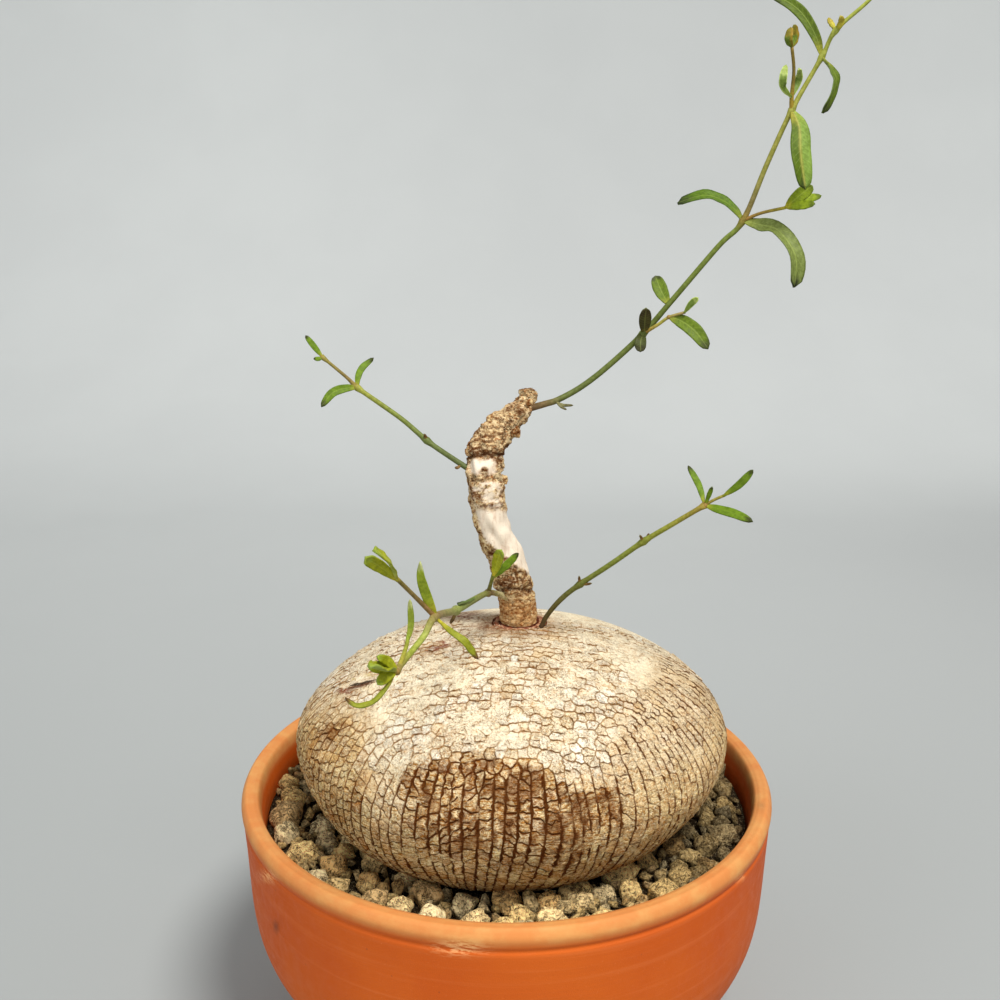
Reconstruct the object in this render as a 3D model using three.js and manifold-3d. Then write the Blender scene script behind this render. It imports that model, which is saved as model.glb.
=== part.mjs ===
// Potted raphionacme: a squat, cracked caudex with a crooked woody neck and four thin leafy shoots,
// set in pumice grit in a terracotta bowl.
// Millimetres, +Z up, the front towards -Y. The origin is the centre of the pot's underside.
import * as THREE from "three";
import { ConvexHull } from "three/addons/math/ConvexHull.js";
import { ConvexGeometry } from "three/addons/geometries/ConvexGeometry.js";
import { mergeVertices } from "three/addons/utils/BufferGeometryUtils.js";
import Module from "manifold-3d";

const wasm = await Module();
wasm.setup();

// Driving dimensions
const FIT_GAP = 0.35;
const POT_RIM_RADIUS = 75;
const POT_HEIGHT = 79;
const POT_BASE_RADIUS = 47;
const POT_FLOOR = 8;
const POT_SEGMENTS = 40;
const DRAIN_RADIUS = 4.5;
const DRAIN_CIRCLE_RADIUS = 22;
const DRAIN_COUNT = 3;
const SOIL_LEVEL = 69.5;
const GRAIN_RADIUS = { least: 3.5, most: 5.6 };
const GRAIN_TRIES = 4200;
const CAUDEX = {
  x: 1.9,
  y: 0,
  z: 92.9,
  radius: 60,
  above: 28.8,
  below: 38.5,
  power: 1.08,
  lean: 3.2,
  lump: 0.6,
};
const PLATE_SIZE = 9.2;
const CRACK_WIDTH = 1.7;
const CRACK_DEPTH = 1.3;
const BLADE_THICKNESS = 0.7;
const POT_COLOUR = 0xc4602a;
const SOIL_COLOUR = 0x80694a;
const BARK_COLOUR = 0xdcc39a;
const WOOD_COLOUR = 0xc0a684;
const LEAF_COLOUR = 0x7c9a32;

// Repeatable random numbers, from 0 to 1
const RANDOM_MULTIPLIER = 1664525;
const RANDOM_INCREMENT = 1013904223;
const RANDOM_RANGE = 2 ** 32;
function makeRandom(seed) {
  let state = seed;
  return () => {
    state = (state * RANDOM_MULTIPLIER + RANDOM_INCREMENT) % RANDOM_RANGE;
    return state / RANDOM_RANGE;
  };
}

// Solids and meshes
const MERGE_DISTANCE = 1e-4;
function solidFrom(geometry) {
  const bare = geometry.clone();
  bare.deleteAttribute("normal");
  bare.deleteAttribute("uv");
  const merged = mergeVertices(bare, MERGE_DISTANCE);
  return new wasm.Manifold(
    new wasm.Mesh({
      numProp: 3,
      vertProperties: new Float32Array(merged.attributes.position.array),
      triVerts: new Uint32Array(merged.index.array),
    }),
  );
}

function geometryFrom(solid) {
  const mesh = solid.getMesh();
  const geometry = new THREE.BufferGeometry();
  geometry.setAttribute("position", new THREE.BufferAttribute(mesh.vertProperties, 3));
  geometry.setIndex(new THREE.BufferAttribute(mesh.triVerts, 1));
  return geometry;
}

function meshFrom(name, solid, color, roughness) {
  const faceted = geometryFrom(cleaned(solid)).toNonIndexed();
  faceted.computeVertexNormals();
  const mesh = new THREE.Mesh(faceted, new THREE.MeshStandardMaterial({ color, roughness, metalness: 0 }));
  mesh.name = name;
  return mesh;
}

function geometryOf(points, triangles) {
  const geometry = new THREE.BufferGeometry();
  geometry.setFromPoints(points);
  geometry.setIndex(triangles.flat());
  return geometry;
}

function addAll(solids) {
  return solids.reduce((sum, solid) => sum.add(solid));
}

// Cleans a joined solid: a hollow sealed inside is filled, an edge shorter than SHORT_EDGE shrinks to a
// point, and a triangle flatter than FLAT_HEIGHT gives its long edge to its neighbour.
const SHORT_EDGE = 0.08;
const FLAT_HEIGHT = 0.012;
const LEAST_TURN_COSINE = 0.5;
const CLEAN_ROUNDS = 6;
function cleaned(solid) {
  const outer = addAll(solid.decompose().filter((body) => body.volume() > 0));
  const { vertProperties, triVerts } = outer.getMesh();
  const points = [];
  for (let i = 0; i < vertProperties.length; i += 3) {
    points.push(new THREE.Vector3().fromArray(vertProperties, i));
  }
  const triangles = [];
  const around = points.map(() => new Set());
  for (let i = 0; i < triVerts.length; i += 3) {
    triangles.push([...triVerts.slice(i, i + 3)]);
    for (const v of triVerts.slice(i, i + 3)) around[v].add(i / 3);
  }
  const neighbours = (v) => new Set([...around[v]].flatMap((k) => triangles[k]).filter((w) => w !== v));
  const normalOf = ([a, b, c]) =>
    points[b].clone().sub(points[a]).cross(points[c].clone().sub(points[a]));
  const setTriangle = (k, corners) => {
    for (const v of triangles[k] ?? []) around[v].delete(k);
    triangles[k] = corners;
    for (const v of corners ?? []) around[v].add(k);
  };

  function shrink(a, b) {
    const nearA = neighbours(a);
    if ([...neighbours(b)].filter((v) => nearA.has(v)).length !== 2) return;
    const moved = [...around[b]].filter((k) => !triangles[k].includes(a));
    const turned = moved.some((k) => {
      const corners = triangles[k].map((v) => (v === b ? a : v));
      return normalOf(triangles[k]).normalize().dot(normalOf(corners).normalize()) < LEAST_TURN_COSINE;
    });
    if (turned) return;
    for (const k of [...around[b]]) {
      setTriangle(k, triangles[k].includes(a) ? null : triangles[k].map((v) => (v === b ? a : v)));
    }
  }

  function flip(k) {
    const corners = triangles[k];
    const lengths = corners.map((v, i) => points[v].distanceTo(points[corners[(i + 1) % 3]]));
    const longest = lengths.indexOf(Math.max(...lengths));
    if (normalOf(corners).length() / lengths[longest] > FLAT_HEIGHT) return;
    const [a, b, c] = [0, 1, 2].map((i) => corners[(longest + i) % 3]);
    const other = [...around[a]].find((j) => j !== k && triangles[j].includes(b));
    const d = triangles[other].find((v) => v !== a && v !== b);
    if (neighbours(c).has(d)) return;
    const side = normalOf(triangles[other]).normalize();
    const halves = [[a, d, c], [d, b, c]];
    if (halves.some((half) => normalOf(half).dot(side) <= 0)) return;
    setTriangle(k, null);
    setTriangle(other, null);
    setTriangle(k, halves[0]);
    setTriangle(other, halves[1]);
  }

  for (let round = 0; round < CLEAN_ROUNDS; round += 1) {
    for (let k = 0; k < triangles.length; k += 1) {
      for (let i = 0; i < 3 && triangles[k]; i += 1) {
        const [a, b] = [triangles[k][i], triangles[k][(i + 1) % 3]];
        if (points[a].distanceTo(points[b]) < SHORT_EDGE) shrink(a, b);
      }
      if (triangles[k]) flip(k);
    }
  }
  return solidFrom(geometryOf(points, triangles.filter((corners) => corners)));
}

// A solid turned about Z from a profile of [radius, height] pairs that starts and ends on the axis
function turned(profile, segments) {
  const outline = profile.map(([radius, height]) => new THREE.Vector2(radius, height));
  const geometry = new THREE.LatheGeometry(outline, segments);
  geometry.rotateX(Math.PI / 2);
  return solidFrom(geometry);
}

// The pot's wall, as [radius, height] from the foot to the lip and down the inside
const POT_OUTSIDE = [
  [0, 0],
  [POT_BASE_RADIUS - 1, 0],
  [POT_BASE_RADIUS, 1.2],
  [60.8, 20],
  [66.6, 28.5],
  [70.8, 36.5],
  [73.2, 47],
  [74.2, 66],
  [74.5, 72.6],
  [74, 73.6],
  [74.8, 74.8],
  [POT_RIM_RADIUS, 77],
  [73.8, POT_HEIGHT],
];
const POT_INSIDE = [
  [71.2, POT_HEIGHT],
  [70, 77.6],
  [69, 72],
  [68.2, 60],
  [66.6, 46],
  [60.5, 31],
  [48, 13],
  [41, POT_FLOOR],
  [0, POT_FLOOR],
];

// Bark of the caudex: a net of squarish plates on a squat, slightly lumpy body
function caudexPoint(theta, phi, out = 0) {
  const sine = Math.sin(theta);
  const cosine = Math.cos(theta);
  const lump = CAUDEX.lump * sine * sine * (Math.sin(2 * phi + 0.6) + 0.7 * Math.sin(5 * phi + 3 * theta));
  const radius = (CAUDEX.radius + lump + out) * Math.abs(sine) ** CAUDEX.power;
  const half = (cosine > 0 ? CAUDEX.above : CAUDEX.below) + out;
  const height = Math.sign(cosine) * half * Math.abs(cosine) ** CAUDEX.power;
  const drift = height < 0 ? (CAUDEX.lean * height) / CAUDEX.below : 0;
  return new THREE.Vector3(
    CAUDEX.x + drift + radius * Math.cos(phi),
    CAUDEX.y + radius * Math.sin(phi),
    CAUDEX.z + height,
  );
}

// Rows of plates from the top down, each with its polar angle, its width in that angle and its plate count.
// Rows of one count stand in columns, so the cracks between them run down the body.
function plateRows() {
  const MERIDIAN_STEPS = 720;
  const TOP_RADIUS = 5;
  const UNDERSIDE_HEIGHT = 60;
  const UNDERSIDE_PLATE = 2.6 * PLATE_SIZE;
  const COUNT_STEP = 7;
  const turnStep = Math.PI / MERIDIAN_STEPS;
  const rows = [];
  let run = PLATE_SIZE - TOP_RADIUS;
  let last = caudexPoint(0, 0);
  for (let i = 1; i < MERIDIAN_STEPS; i += 1) {
    const theta = turnStep * i;
    const here = caudexPoint(theta, 0);
    const stride = here.distanceTo(last);
    const size = here.z > UNDERSIDE_HEIGHT ? PLATE_SIZE : UNDERSIDE_PLATE;
    run += stride;
    last = here;
    if (run >= size) {
      const around = here.distanceTo(caudexPoint(theta, Math.PI)) * Math.PI;
      const count = COUNT_STEP * Math.max(1, Math.round(around / size / COUNT_STEP));
      rows.push({ theta, count, height: (turnStep * size) / stride });
      run = 0;
    }
  }
  return rows;
}

function caudexBark() {
  const JITTER = 0.17;
  const SHORTEST_EDGE = 2.1;
  const TILT = 0.5;
  const MOST_INSET = 0.45;
  const SEED = 11;
  const random = makeRandom(SEED);
  const jitter = () => JITTER * (random() * 2 - 1);
  const seeds = [];
  for (const { theta, count, height } of plateRows()) {
    for (let i = 0; i < count; i += 1) {
      const turn = ((i + jitter()) * Math.PI * 2) / count;
      seeds.push(new THREE.Vector3().setFromSphericalCoords(1, theta + jitter() * height, turn));
    }
  }

  // Corners of the net: each hull face of the seeds gives the point where three plates meet
  const hull = new ConvexHull().setFromPoints(seeds);
  const seedIndex = new Map(seeds.map((seed, i) => [seed, i]));
  const faceIndex = new Map(hull.faces.map((face, i) => [face, i]));
  const polar = hull.faces.map((face) => {
    const direction = new THREE.Spherical().setFromVector3(face.normal);
    return { theta: direction.phi, phi: direction.theta };
  });
  const surface = polar.map(({ theta, phi }) => caudexPoint(theta, phi));

  // Corners that nearly touch become one
  const keep = polar.map((_, i) => i);
  const rootOf = (i) => (keep[i] === i ? i : rootOf(keep[i]));
  hull.faces.forEach((face, i) => {
    let edge = face.edge;
    do {
      const j = faceIndex.get(edge.twin.face);
      const a = rootOf(i);
      const b = rootOf(j);
      if (a !== b && surface[a].distanceTo(surface[b]) < SHORTEST_EDGE) keep[Math.max(a, b)] = Math.min(a, b);
      edge = edge.next;
    } while (edge !== face.edge);
  });

  // The corners of each plate, in order round its seed
  const plates = new Map();
  hull.faces.forEach((face) => {
    let edge = face.edge;
    do {
      const seed = seedIndex.get(edge.vertex.point);
      if (!plates.has(seed)) {
        const loop = [];
        let spoke = edge;
        do {
          loop.push(rootOf(faceIndex.get(spoke.face)));
          spoke = spoke.next.twin;
        } while (spoke !== edge);
        plates.set(seed, loop.filter((corner, k) => corner !== loop[(k + 1) % loop.length]));
      }
      edge = edge.next;
    } while (edge !== face.edge);
  });

  const points = polar.map(({ theta, phi }) => caudexPoint(theta, phi, -CRACK_DEPTH));
  const triangles = [];
  for (const loop of plates.values()) {
    const sides = loop.length;
    const corners = loop.map((corner) => surface[corner]);
    const middle = corners.reduce((sum, corner) => sum.add(corner), new THREE.Vector3()).divideScalar(sides);
    const outward = middle.clone().sub(new THREE.Vector3(CAUDEX.x, CAUDEX.y, CAUDEX.z)).normalize();
    const first = points.length;
    corners.forEach((corner) => {
      const reach = corner.distanceTo(middle);
      const inset = corner.clone().lerp(middle, Math.min(MOST_INSET, (CRACK_WIDTH * Math.SQRT1_2) / reach));
      const upper = Math.max(0, (corner.z - middle.z) / reach);
      points.push(inset.addScaledVector(outward, -TILT * upper));
    });
    const firstSide = corners[1].clone().sub(corners[0]);
    const secondSide = corners[2].clone().sub(corners[0]);
    const order = firstSide.cross(secondSide).dot(outward) > 0;
    for (let k = 0; k < sides; k += 1) {
      const next = (k + 1) % sides;
      const quad = [loop[k], loop[next], first + next, first + k];
      if (!order) quad.reverse();
      triangles.push([quad[0], quad[1], quad[2]], [quad[0], quad[2], quad[3]]);
      if (k > 1) {
        const top = [first, first + k - 1, first + k];
        if (!order) top.reverse();
        triangles.push(top);
      }
    }
  }
  return solidFrom(geometryOf(points, triangles));
}

// A plain body of the caudex's outer form, grown outwards, for the hollow that it sits in
function caudexBody(out) {
  const ROUND = 28;
  const RINGS = 12;
  const points = [caudexPoint(0, 0, out)];
  const triangles = [];
  for (let i = 1; i < RINGS; i += 1) {
    for (let j = 0; j < ROUND; j += 1) {
      points.push(caudexPoint((Math.PI * i) / RINGS, (2 * Math.PI * j) / ROUND, out));
    }
  }
  points.push(caudexPoint(Math.PI, 0, out));
  const at = (i, j) => 1 + (i - 1) * ROUND + (j % ROUND);
  const bottom = points.length - 1;
  for (let j = 0; j < ROUND; j += 1) {
    triangles.push([0, at(1, j), at(1, j + 1)]);
    triangles.push([bottom, at(RINGS - 1, j + 1), at(RINGS - 1, j)]);
    for (let i = 1; i < RINGS - 1; i += 1) {
      triangles.push([at(i, j), at(i + 1, j), at(i + 1, j + 1)]);
      triangles.push([at(i, j), at(i + 1, j + 1), at(i, j + 1)]);
    }
  }
  return solidFrom(geometryOf(points, triangles));
}

// A round stem through [x, y, z, radius] points, with closed ends and a steady frame along its curve
function stem(stations, sides, steps, relief = () => 0) {
  const centres = stations.map(([x, y, z]) => new THREE.Vector3(x, y, z));
  const curve = new THREE.CatmullRomCurve3(centres, false, "catmullrom", 0.5);
  const rings = (stations.length - 1) * steps;
  const points = [];
  const triangles = [];
  const side = new THREE.Vector3(1, 0, 0);
  for (let i = 0; i <= rings; i += 1) {
    const t = i / rings;
    const centre = curve.getPoint(t);
    const along = curve.getTangent(t).normalize();
    side.addScaledVector(along, -side.dot(along)).normalize();
    const up = along.clone().cross(side);
    const span = Math.min(stations.length - 2, Math.floor(i / steps));
    const part = i / steps - span;
    const radius = stations[span][3] * (1 - part) + stations[span + 1][3] * part;
    for (let j = 0; j < sides; j += 1) {
      const angle = (2 * Math.PI * j) / sides;
      const reach = radius + relief(t, angle);
      const sideways = centre.clone().addScaledVector(side, reach * Math.cos(angle));
      points.push(sideways.addScaledVector(up, reach * Math.sin(angle)));
    }
  }
  const at = (i, j) => i * sides + (j % sides);
  for (let j = 0; j < sides; j += 1) {
    for (let i = 0; i < rings; i += 1) {
      triangles.push([at(i, j), at(i, j + 1), at(i + 1, j + 1)]);
      triangles.push([at(i, j), at(i + 1, j + 1), at(i + 1, j)]);
    }
    if (j > 1) {
      triangles.push([at(0, 0), at(0, j), at(0, j - 1)]);
      triangles.push([at(rings, 0), at(rings, j - 1), at(rings, j)]);
    }
  }
  return solidFrom(geometryOf(points, triangles));
}

// A leaf blade along its midrib, widest past its middle and waved at its edges. A broad one is folded up
// along the rib, a narrow one is flat across. Both faces are split into triangles alike.
function blade({ rib, width, face = [0, -1, 0.35], fold = 0.3, wave = 0, steps = 5 }) {
  const PETIOLE_HALF_WIDTH = 0.45;
  const NARROW = 2.5;
  const WIDEST_RISE = 0.62;
  const TIP_FALL = 0.5;
  const RIPPLES = 9;
  const PEAK = WIDEST_RISE / (WIDEST_RISE + TIP_FALL);
  const peakValue = PEAK ** WIDEST_RISE * (1 - PEAK) ** TIP_FALL;
  const curve = new THREE.CatmullRomCurve3(rib.map((p) => new THREE.Vector3(...p)), false, "catmullrom", 0.5);
  const facing = new THREE.Vector3(...face).normalize();
  const edges = width < NARROW ? [-1, 1] : [-1, 0, 1];
  const columns = edges.length;
  const upper = [];
  const lower = [];
  for (let i = 0; i <= steps; i += 1) {
    const t = i / steps;
    const centre = curve.getPoint(t);
    const along = curve.getTangent(t).normalize();
    const normal = facing.clone().addScaledVector(along, -facing.dot(along)).normalize();
    const across = along.clone().cross(normal);
    const shape = (t ** WIDEST_RISE * (1 - t) ** TIP_FALL) / peakValue;
    const half = Math.max(PETIOLE_HALF_WIDTH, (width / 2) * shape);
    for (const edge of edges) {
      const ripple = wave * shape * Math.abs(edge) * Math.sin(RIPPLES * t + edge);
      const rise = (columns === 2 ? 0 : fold * half * Math.abs(edge)) + ripple;
      const middle = centre.clone().addScaledVector(across, edge * half).addScaledVector(normal, rise);
      upper.push(middle.clone().addScaledVector(normal, BLADE_THICKNESS / 2));
      lower.push(middle.clone().addScaledVector(normal, -BLADE_THICKNESS / 2));
    }
  }
  const points = [...upper, ...lower];
  const under = upper.length;
  const triangles = [];
  const quad = (a, b, c, d) => triangles.push([a, b, c], [a, c, d]);
  const last = steps * columns;
  for (let k = 0; k + 1 < columns; k += 1) {
    for (let i = 0; i < steps; i += 1) {
      const a = i * columns + k;
      const c = a + columns + 1;
      quad(a, a + 1, c, a + columns);
      quad(under + c, under + a + 1, under + a, under + a + columns);
    }
    quad(k, under + k, under + k + 1, k + 1);
    quad(last + k, last + k + 1, under + last + k + 1, under + last + k);
  }
  for (let i = 0; i < steps; i += 1) {
    const left = i * columns;
    const right = left + columns - 1;
    quad(left, left + columns, under + left + columns, under + left);
    quad(right, under + right, under + right + columns, right + columns);
  }
  return solidFrom(geometryOf(points, triangles));
}

// A small swollen joint of a stem, where leaves and side stems leave it
function joint([x, y, z], radius) {
  const geometry = new THREE.OctahedronGeometry(radius);
  geometry.translate(x, y, z);
  return solidFrom(geometry);
}

// The woody neck, as [x, y, z, radius]
const TRUNK = [
  [3.6, 7, 119, 5.2],
  [3.6, 7, 122, 5.2],
  [3, 6.5, 128.5, 5.2],
  [1.8, 6, 134.5, 5.4],
  [0, 5, 142, 5.2],
  [-3, 4, 148.5, 4.8],
  [-4.6, 3.5, 154, 4.7],
  [-5.7, 4, 161, 4.9],
  [-6.2, 5.5, 166.5, 5.1],
  [-5.4, 8, 171.5, 5.3],
  [-3.2, 10, 175, 4.6],
  [-0.4, 12, 178, 4.1],
  [3.2, 13, 181, 3.3],
  [5.6, 14, 185, 2.5],
  [5.4, 14, 187.5, 1.9],
];
const TRUNK_SIDES = 12;
const TRUNK_KNOTS = [
  [-4, 10.6, 179.2, 2],
  [-9.8, 6.5, 171.5, 1.8],
  [2.3, 9.4, 176.4, 1.9],
  [-1.3, 8.2, 163, 1.8],
  [6, 12, 184, 1.5],
];

function trunkRelief(t, angle) {
  const SMOOTH_FOOT = 0.09;
  const KNOTS = 0.34;
  const FLAKES = 0.26;
  const ROUGH_TOP = 0.55;
  const fade = Math.min(1, Math.max(0, (t - SMOOTH_FOOT) / SMOOTH_FOOT)) * (t > ROUGH_TOP ? 1.5 : 1);
  const knots = Math.sin(3 * angle + 21 * t) * Math.sin(34 * t + 2 * angle);
  const flakes = Math.sin(61 * t + 4 * angle) * Math.cos(5 * angle - 27 * t);
  return fade * (KNOTS * knots + FLAKES * flakes);
}

// Shoots: the main stem as [x, y, z, radius], side stems, swollen joints and leaf blades
const SHOOTS = {
  shoot_long: {
    stem: [
      [5.6, 13.3, 182, 1.15],
      [10.7, 13.5, 183.4, 1.05],
      [14.3, 14, 184.5, 1],
      [20.7, 16, 187.7, 0.95],
      [28, 18, 193, 0.95],
      [38, 20, 202, 0.95],
      [46, 20, 211.5, 0.9],
      [58, 20, 226, 0.85],
      [64, 19.5, 232.5, 0.85],
      [69, 17, 247, 0.8],
      [74, 14, 260.5, 0.75],
      [80, 11, 273, 0.65],
      [82.5, 9, 279, 0.6],
      [89.5, 7, 285.5, 0.55],
      [96, 5, 293, 0.5],
    ],
    sides: [
      [[38, 20, 202, 0.6], [42, 17.5, 205, 0.55], [44.5, 16, 207, 0.5], [48.5, 14, 208.5, 0.45]],
      [[64, 19.5, 232.5, 0.6], [68, 17, 234.5, 0.5], [74, 14, 236, 0.5]],
      [[74, 14, 260, 0.7], [73.5, 13, 263.5, 0.65], [73.5, 12.5, 270, 0.5], [72.5, 12, 275.5, 0.5]],
    ],
    joints: [
      [38, 20, 202], [44.5, 16, 207], [64, 19.5, 232.5], [74, 14, 260.5], [80, 11, 273], [82.5, 9, 279],
    ],
    leaves: [
      { rib: [[38.3, 20, 202.3], [38, 17, 206], [38, 15, 209.5]], width: 3.4, steps: 4 },
      { rib: [[38, 20, 202], [37, 17, 200], [37, 16, 197.5]], width: 3.2, steps: 4 },
      { rib: [[44.8, 20, 210], [43, 23, 213.5], [41.5, 25, 217.5]], width: 4 },
      { rib: [[48.3, 14, 208.4], [50, 13, 211], [51.5, 12, 212.5]], width: 1.8, steps: 3 },
      { rib: [[44.5, 16, 207], [47.5, 14.5, 206], [51, 12, 203.5], [54.5, 10, 199]], width: 4.2 },
      { rib: [[64, 19.5, 232.5], [61.5, 20.5, 235.5], [58, 22, 238], [53.5, 23, 239], [47, 25, 237]],
        width: 4.4, face: [0.2, -0.55, 0.8], steps: 7 },
      { rib: [[64, 19.5, 232.5], [67.5, 17, 231.5], [72, 13, 230], [76, 9, 223.5], [76, 8, 215.5]],
        width: 5, face: [0.55, -1, 0.1], fold: 0.4, steps: 7 },
      { rib: [[74, 14, 236], [77, 12, 239], [80, 11, 241.5]], width: 3.6, steps: 4 },
      { rib: [[74, 14, 236], [79, 15, 238], [84, 17, 239]], width: 2.2, steps: 4 },
      { rib: [[74, 14, 236], [77, 11, 236.5], [80, 8, 237]], width: 2.4, steps: 4 },
      { rib: [[74, 14, 260.5], [75.3, 11, 256], [75.3, 8.5, 251], [75.8, 7.5, 246.5], [77, 7, 240.5]],
        width: 5.4, face: [0.1, -1, -0.1], wave: 0.5, steps: 9 },
      { rib: [[73.5, 13, 263.5], [70.5, 10, 265.5], [70, 9, 268], [71, 11, 271]], width: 2.6, steps: 5 },
      { rib: [[73.5, 13, 263.5], [75, 15, 266.5], [75.5, 15, 268.5], [75, 13, 270.5]], width: 2.6, steps: 5 },
      { rib: [[72.5, 12, 275.5], [70.5, 10, 277], [71, 11, 280]], width: 2.8, face: [-0.5, -1, 0], steps: 4 },
      { rib: [[72.5, 12, 275.5], [74, 14, 278], [72.5, 13, 281]], width: 2.8, face: [0.5, -1, 0], steps: 4 },
      { rib: [[80, 11, 273], [79, 13, 277.5], [76, 15, 283], [72.5, 17, 286.5], [67, 19, 289.5]],
        width: 3, face: [-0.5, -1, 0.4], steps: 7 },
      { rib: [[80, 11, 273], [81.5, 8, 270], [82.5, 6, 267], [81.5, 5, 263.5], [79.5, 5, 259]],
        width: 3, face: [0.8, -0.8, 0.2], wave: 0.4, steps: 7 },
      { rib: [[82.5, 9, 279], [83.2, 7.5, 280.5], [82.8, 6.5, 282]], width: 1.6, steps: 2 },
      { rib: [[82.5, 9, 279], [81.5, 9.5, 280.5], [80.6, 10, 282]], width: 1.3, steps: 2 },
      { rib: [[95.5, 5.2, 292.4], [94, 6, 296], [91.5, 7, 299.5]], width: 2.6, steps: 5 },
      { rib: [[95.5, 5.2, 292.4], [99.5, 4, 294], [103, 3, 293]], width: 2.6, steps: 5 },
      { rib: [[95.5, 5.2, 292.4], [97.5, 4.6, 295.5], [99, 4, 299]], width: 1.8, steps: 4 },
    ],
  },
  shoot_left: {
    stem: [
      [-9.3, 5.5, 166, 0.95],
      [-16.5, 7, 170.5, 0.85],
      [-22, 9, 174, 0.85],
      [-28.5, 12, 179, 0.8],
      [-35, 14, 183.3, 0.8],
      [-41.5, 16, 187.5, 0.75],
      [-44.7, 17, 190.4, 0.55],
      [-51.5, 18, 196, 0.5],
    ],
    sides: [],
    joints: [[-22, 9, 174], [-41.5, 16, 187.5], [-51.3, 18, 195.8]],
    leaves: [
      { rib: [[-41.5, 16, 187.5], [-41.5, 17.5, 190], [-40.5, 20, 192.5], [-37.5, 22, 195]], width: 2.4 },
      { rib: [[-41.5, 16, 187.5], [-44.5, 15, 187.5], [-48, 13, 186.5], [-51, 11, 183]], width: 2.8 },
      { rib: [[-51.2, 18, 195.8], [-53.5, 19, 198.5], [-56, 20, 201.5]], width: 2.2 },
      { rib: [[-51.2, 18, 195.8], [-52.2, 17.2, 195.4], [-53.4, 16.5, 195.6]], width: 1.2, steps: 2 },
      { rib: [[-22, 9, 174], [-22.2, 8.4, 175], [-22.6, 8, 176]], width: 1.3, steps: 2 },
      { rib: [[-12.5, 6, 168], [-13.3, 5.4, 167.2], [-14.2, 5.2, 167.2]], width: 1.3, steps: 2 },
    ],
  },
  shoot_right: {
    stem: [
      [9.4, 3.1, 120.6, 1],
      [10.6, 3.2, 125.2, 0.95],
      [15.2, 1, 131.2, 0.85],
      [20.3, -1, 135.7, 0.85],
      [28.3, -4, 142.5, 0.85],
      [36.5, -7, 149.8, 0.85],
      [42.8, -10, 155, 0.8],
      [51.3, -13, 161.5, 0.75],
    ],
    sides: [[[51.3, -13, 161.5, 0.5], [53.5, -14, 163.2, 0.45], [56, -15, 164.7, 0.45]]],
    joints: [[20.3, -1, 135.7], [36.5, -7, 149.8], [51.3, -13, 161.5]],
    leaves: [
      { rib: [[51.2, -13, 161.4], [50, -10, 166], [47.5, -7, 170.5]], width: 2.3 },
      { rib: [[51.3, -13, 161.4], [52, -14, 164.5], [52.5, -15, 166.8]], width: 1.5, steps: 3 },
      { rib: [[55.5, -14.9, 164.4], [59, -17, 168], [62, -18, 172]], width: 2.4 },
      { rib: [[51.2, -13, 161.4], [54, -15, 161], [58, -18, 160.5], [62, -21, 159.3]], width: 2.9 },
      { rib: [[20.3, -1, 135.7], [20, -1.5, 137], [19.9, -2, 138.3]], width: 1.2, steps: 2 },
      { rib: [[20.3, -1, 135.7], [21.8, -2, 136], [23.2, -3, 136.6]], width: 1.2, steps: 2 },
      { rib: [[36.5, -7, 149.8], [35.9, -7.6, 150.8], [35.4, -8, 151.8]], width: 1.2, steps: 2 },
      { rib: [[36.8, -7.1, 150], [37.5, -6.5, 150.8], [38, -6.1, 151.8]], width: 1.2, steps: 2 },
    ],
  },
  shoot_front: {
    stem: [
      [1.3, 3.6, 129.8, 1.05],
      [-0.5, 0.5, 131.5, 1],
      [-5, -9, 136, 1],
      [-8.7, -28, 140.7, 1],
      [-12, -48, 145.6, 1],
      [-15.5, -70, 152.4, 0.95],
      [-17.5, -75, 150.2, 0.8],
      [-19.6, -79, 148.6, 0.75],
      [-22.5, -86, 147, 0.75],
    ],
    sides: [
      [[-15.5, -70, 152.4, 0.7], [-19.5, -74, 158.5, 0.55], [-22.5, -78, 163.5, 0.55]],
      [[-5, -9, 136, 0.75], [-4.3, -10.3, 139, 0.6], [-3.5, -12, 142.5, 0.6]],
      [[-22, -84.5, 147.2, 0.6], [-20.7, -82.5, 150.5, 0.5], [-20.2, -81.5, 153, 0.45]],
    ],
    joints: [[-5, -9, 136], [-12, -48, 145.5], [-15.5, -70, 152.4], [-22.5, -86, 147]],
    leaves: [
      { rib: [[-22.5, -78, 163.3], [-25.2, -81, 167], [-28, -84, 170]],
        width: 2.8, face: [0.6, -1, -0.5] },
      { rib: [[-22.5, -78, 163.3], [-23.5, -83, 168.5], [-26, -87, 172.5]], width: 2.8, face: [0.7, -0.3, 1] },
      { rib: [[-15.6, -70, 152.6], [-17.3, -73, 159], [-18, -75, 163], [-18, -76, 166.5]], width: 3 },
      { rib: [[-15.3, -70.5, 152.3], [-11.5, -74, 151], [-9, -75, 148.5], [-6.5, -74, 144.5]], width: 2.2,
        face: [0.3, -1, 0.8] },
      { rib: [[-20.6, -82.3, 151], [-19.8, -80, 154.5], [-20, -79, 159.5]], width: 1.9 },
      { rib: [[-22.5, -86, 147], [-24.5, -90, 149.2], [-26.5, -94, 151.5]],
        width: 3.6, face: [-0.2, -0.5, 1] },
      { rib: [[-22.5, -86, 147], [-25, -88, 148.6], [-27.6, -89, 149.4]],
        width: 2.6, face: [0.2, -1, 0.5], steps: 4 },
      { rib: [[-22.5, -86, 147], [-24, -89, 145], [-26.5, -92, 143.5], [-29.5, -93, 143], [-31.5, -92, 144]],
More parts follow.
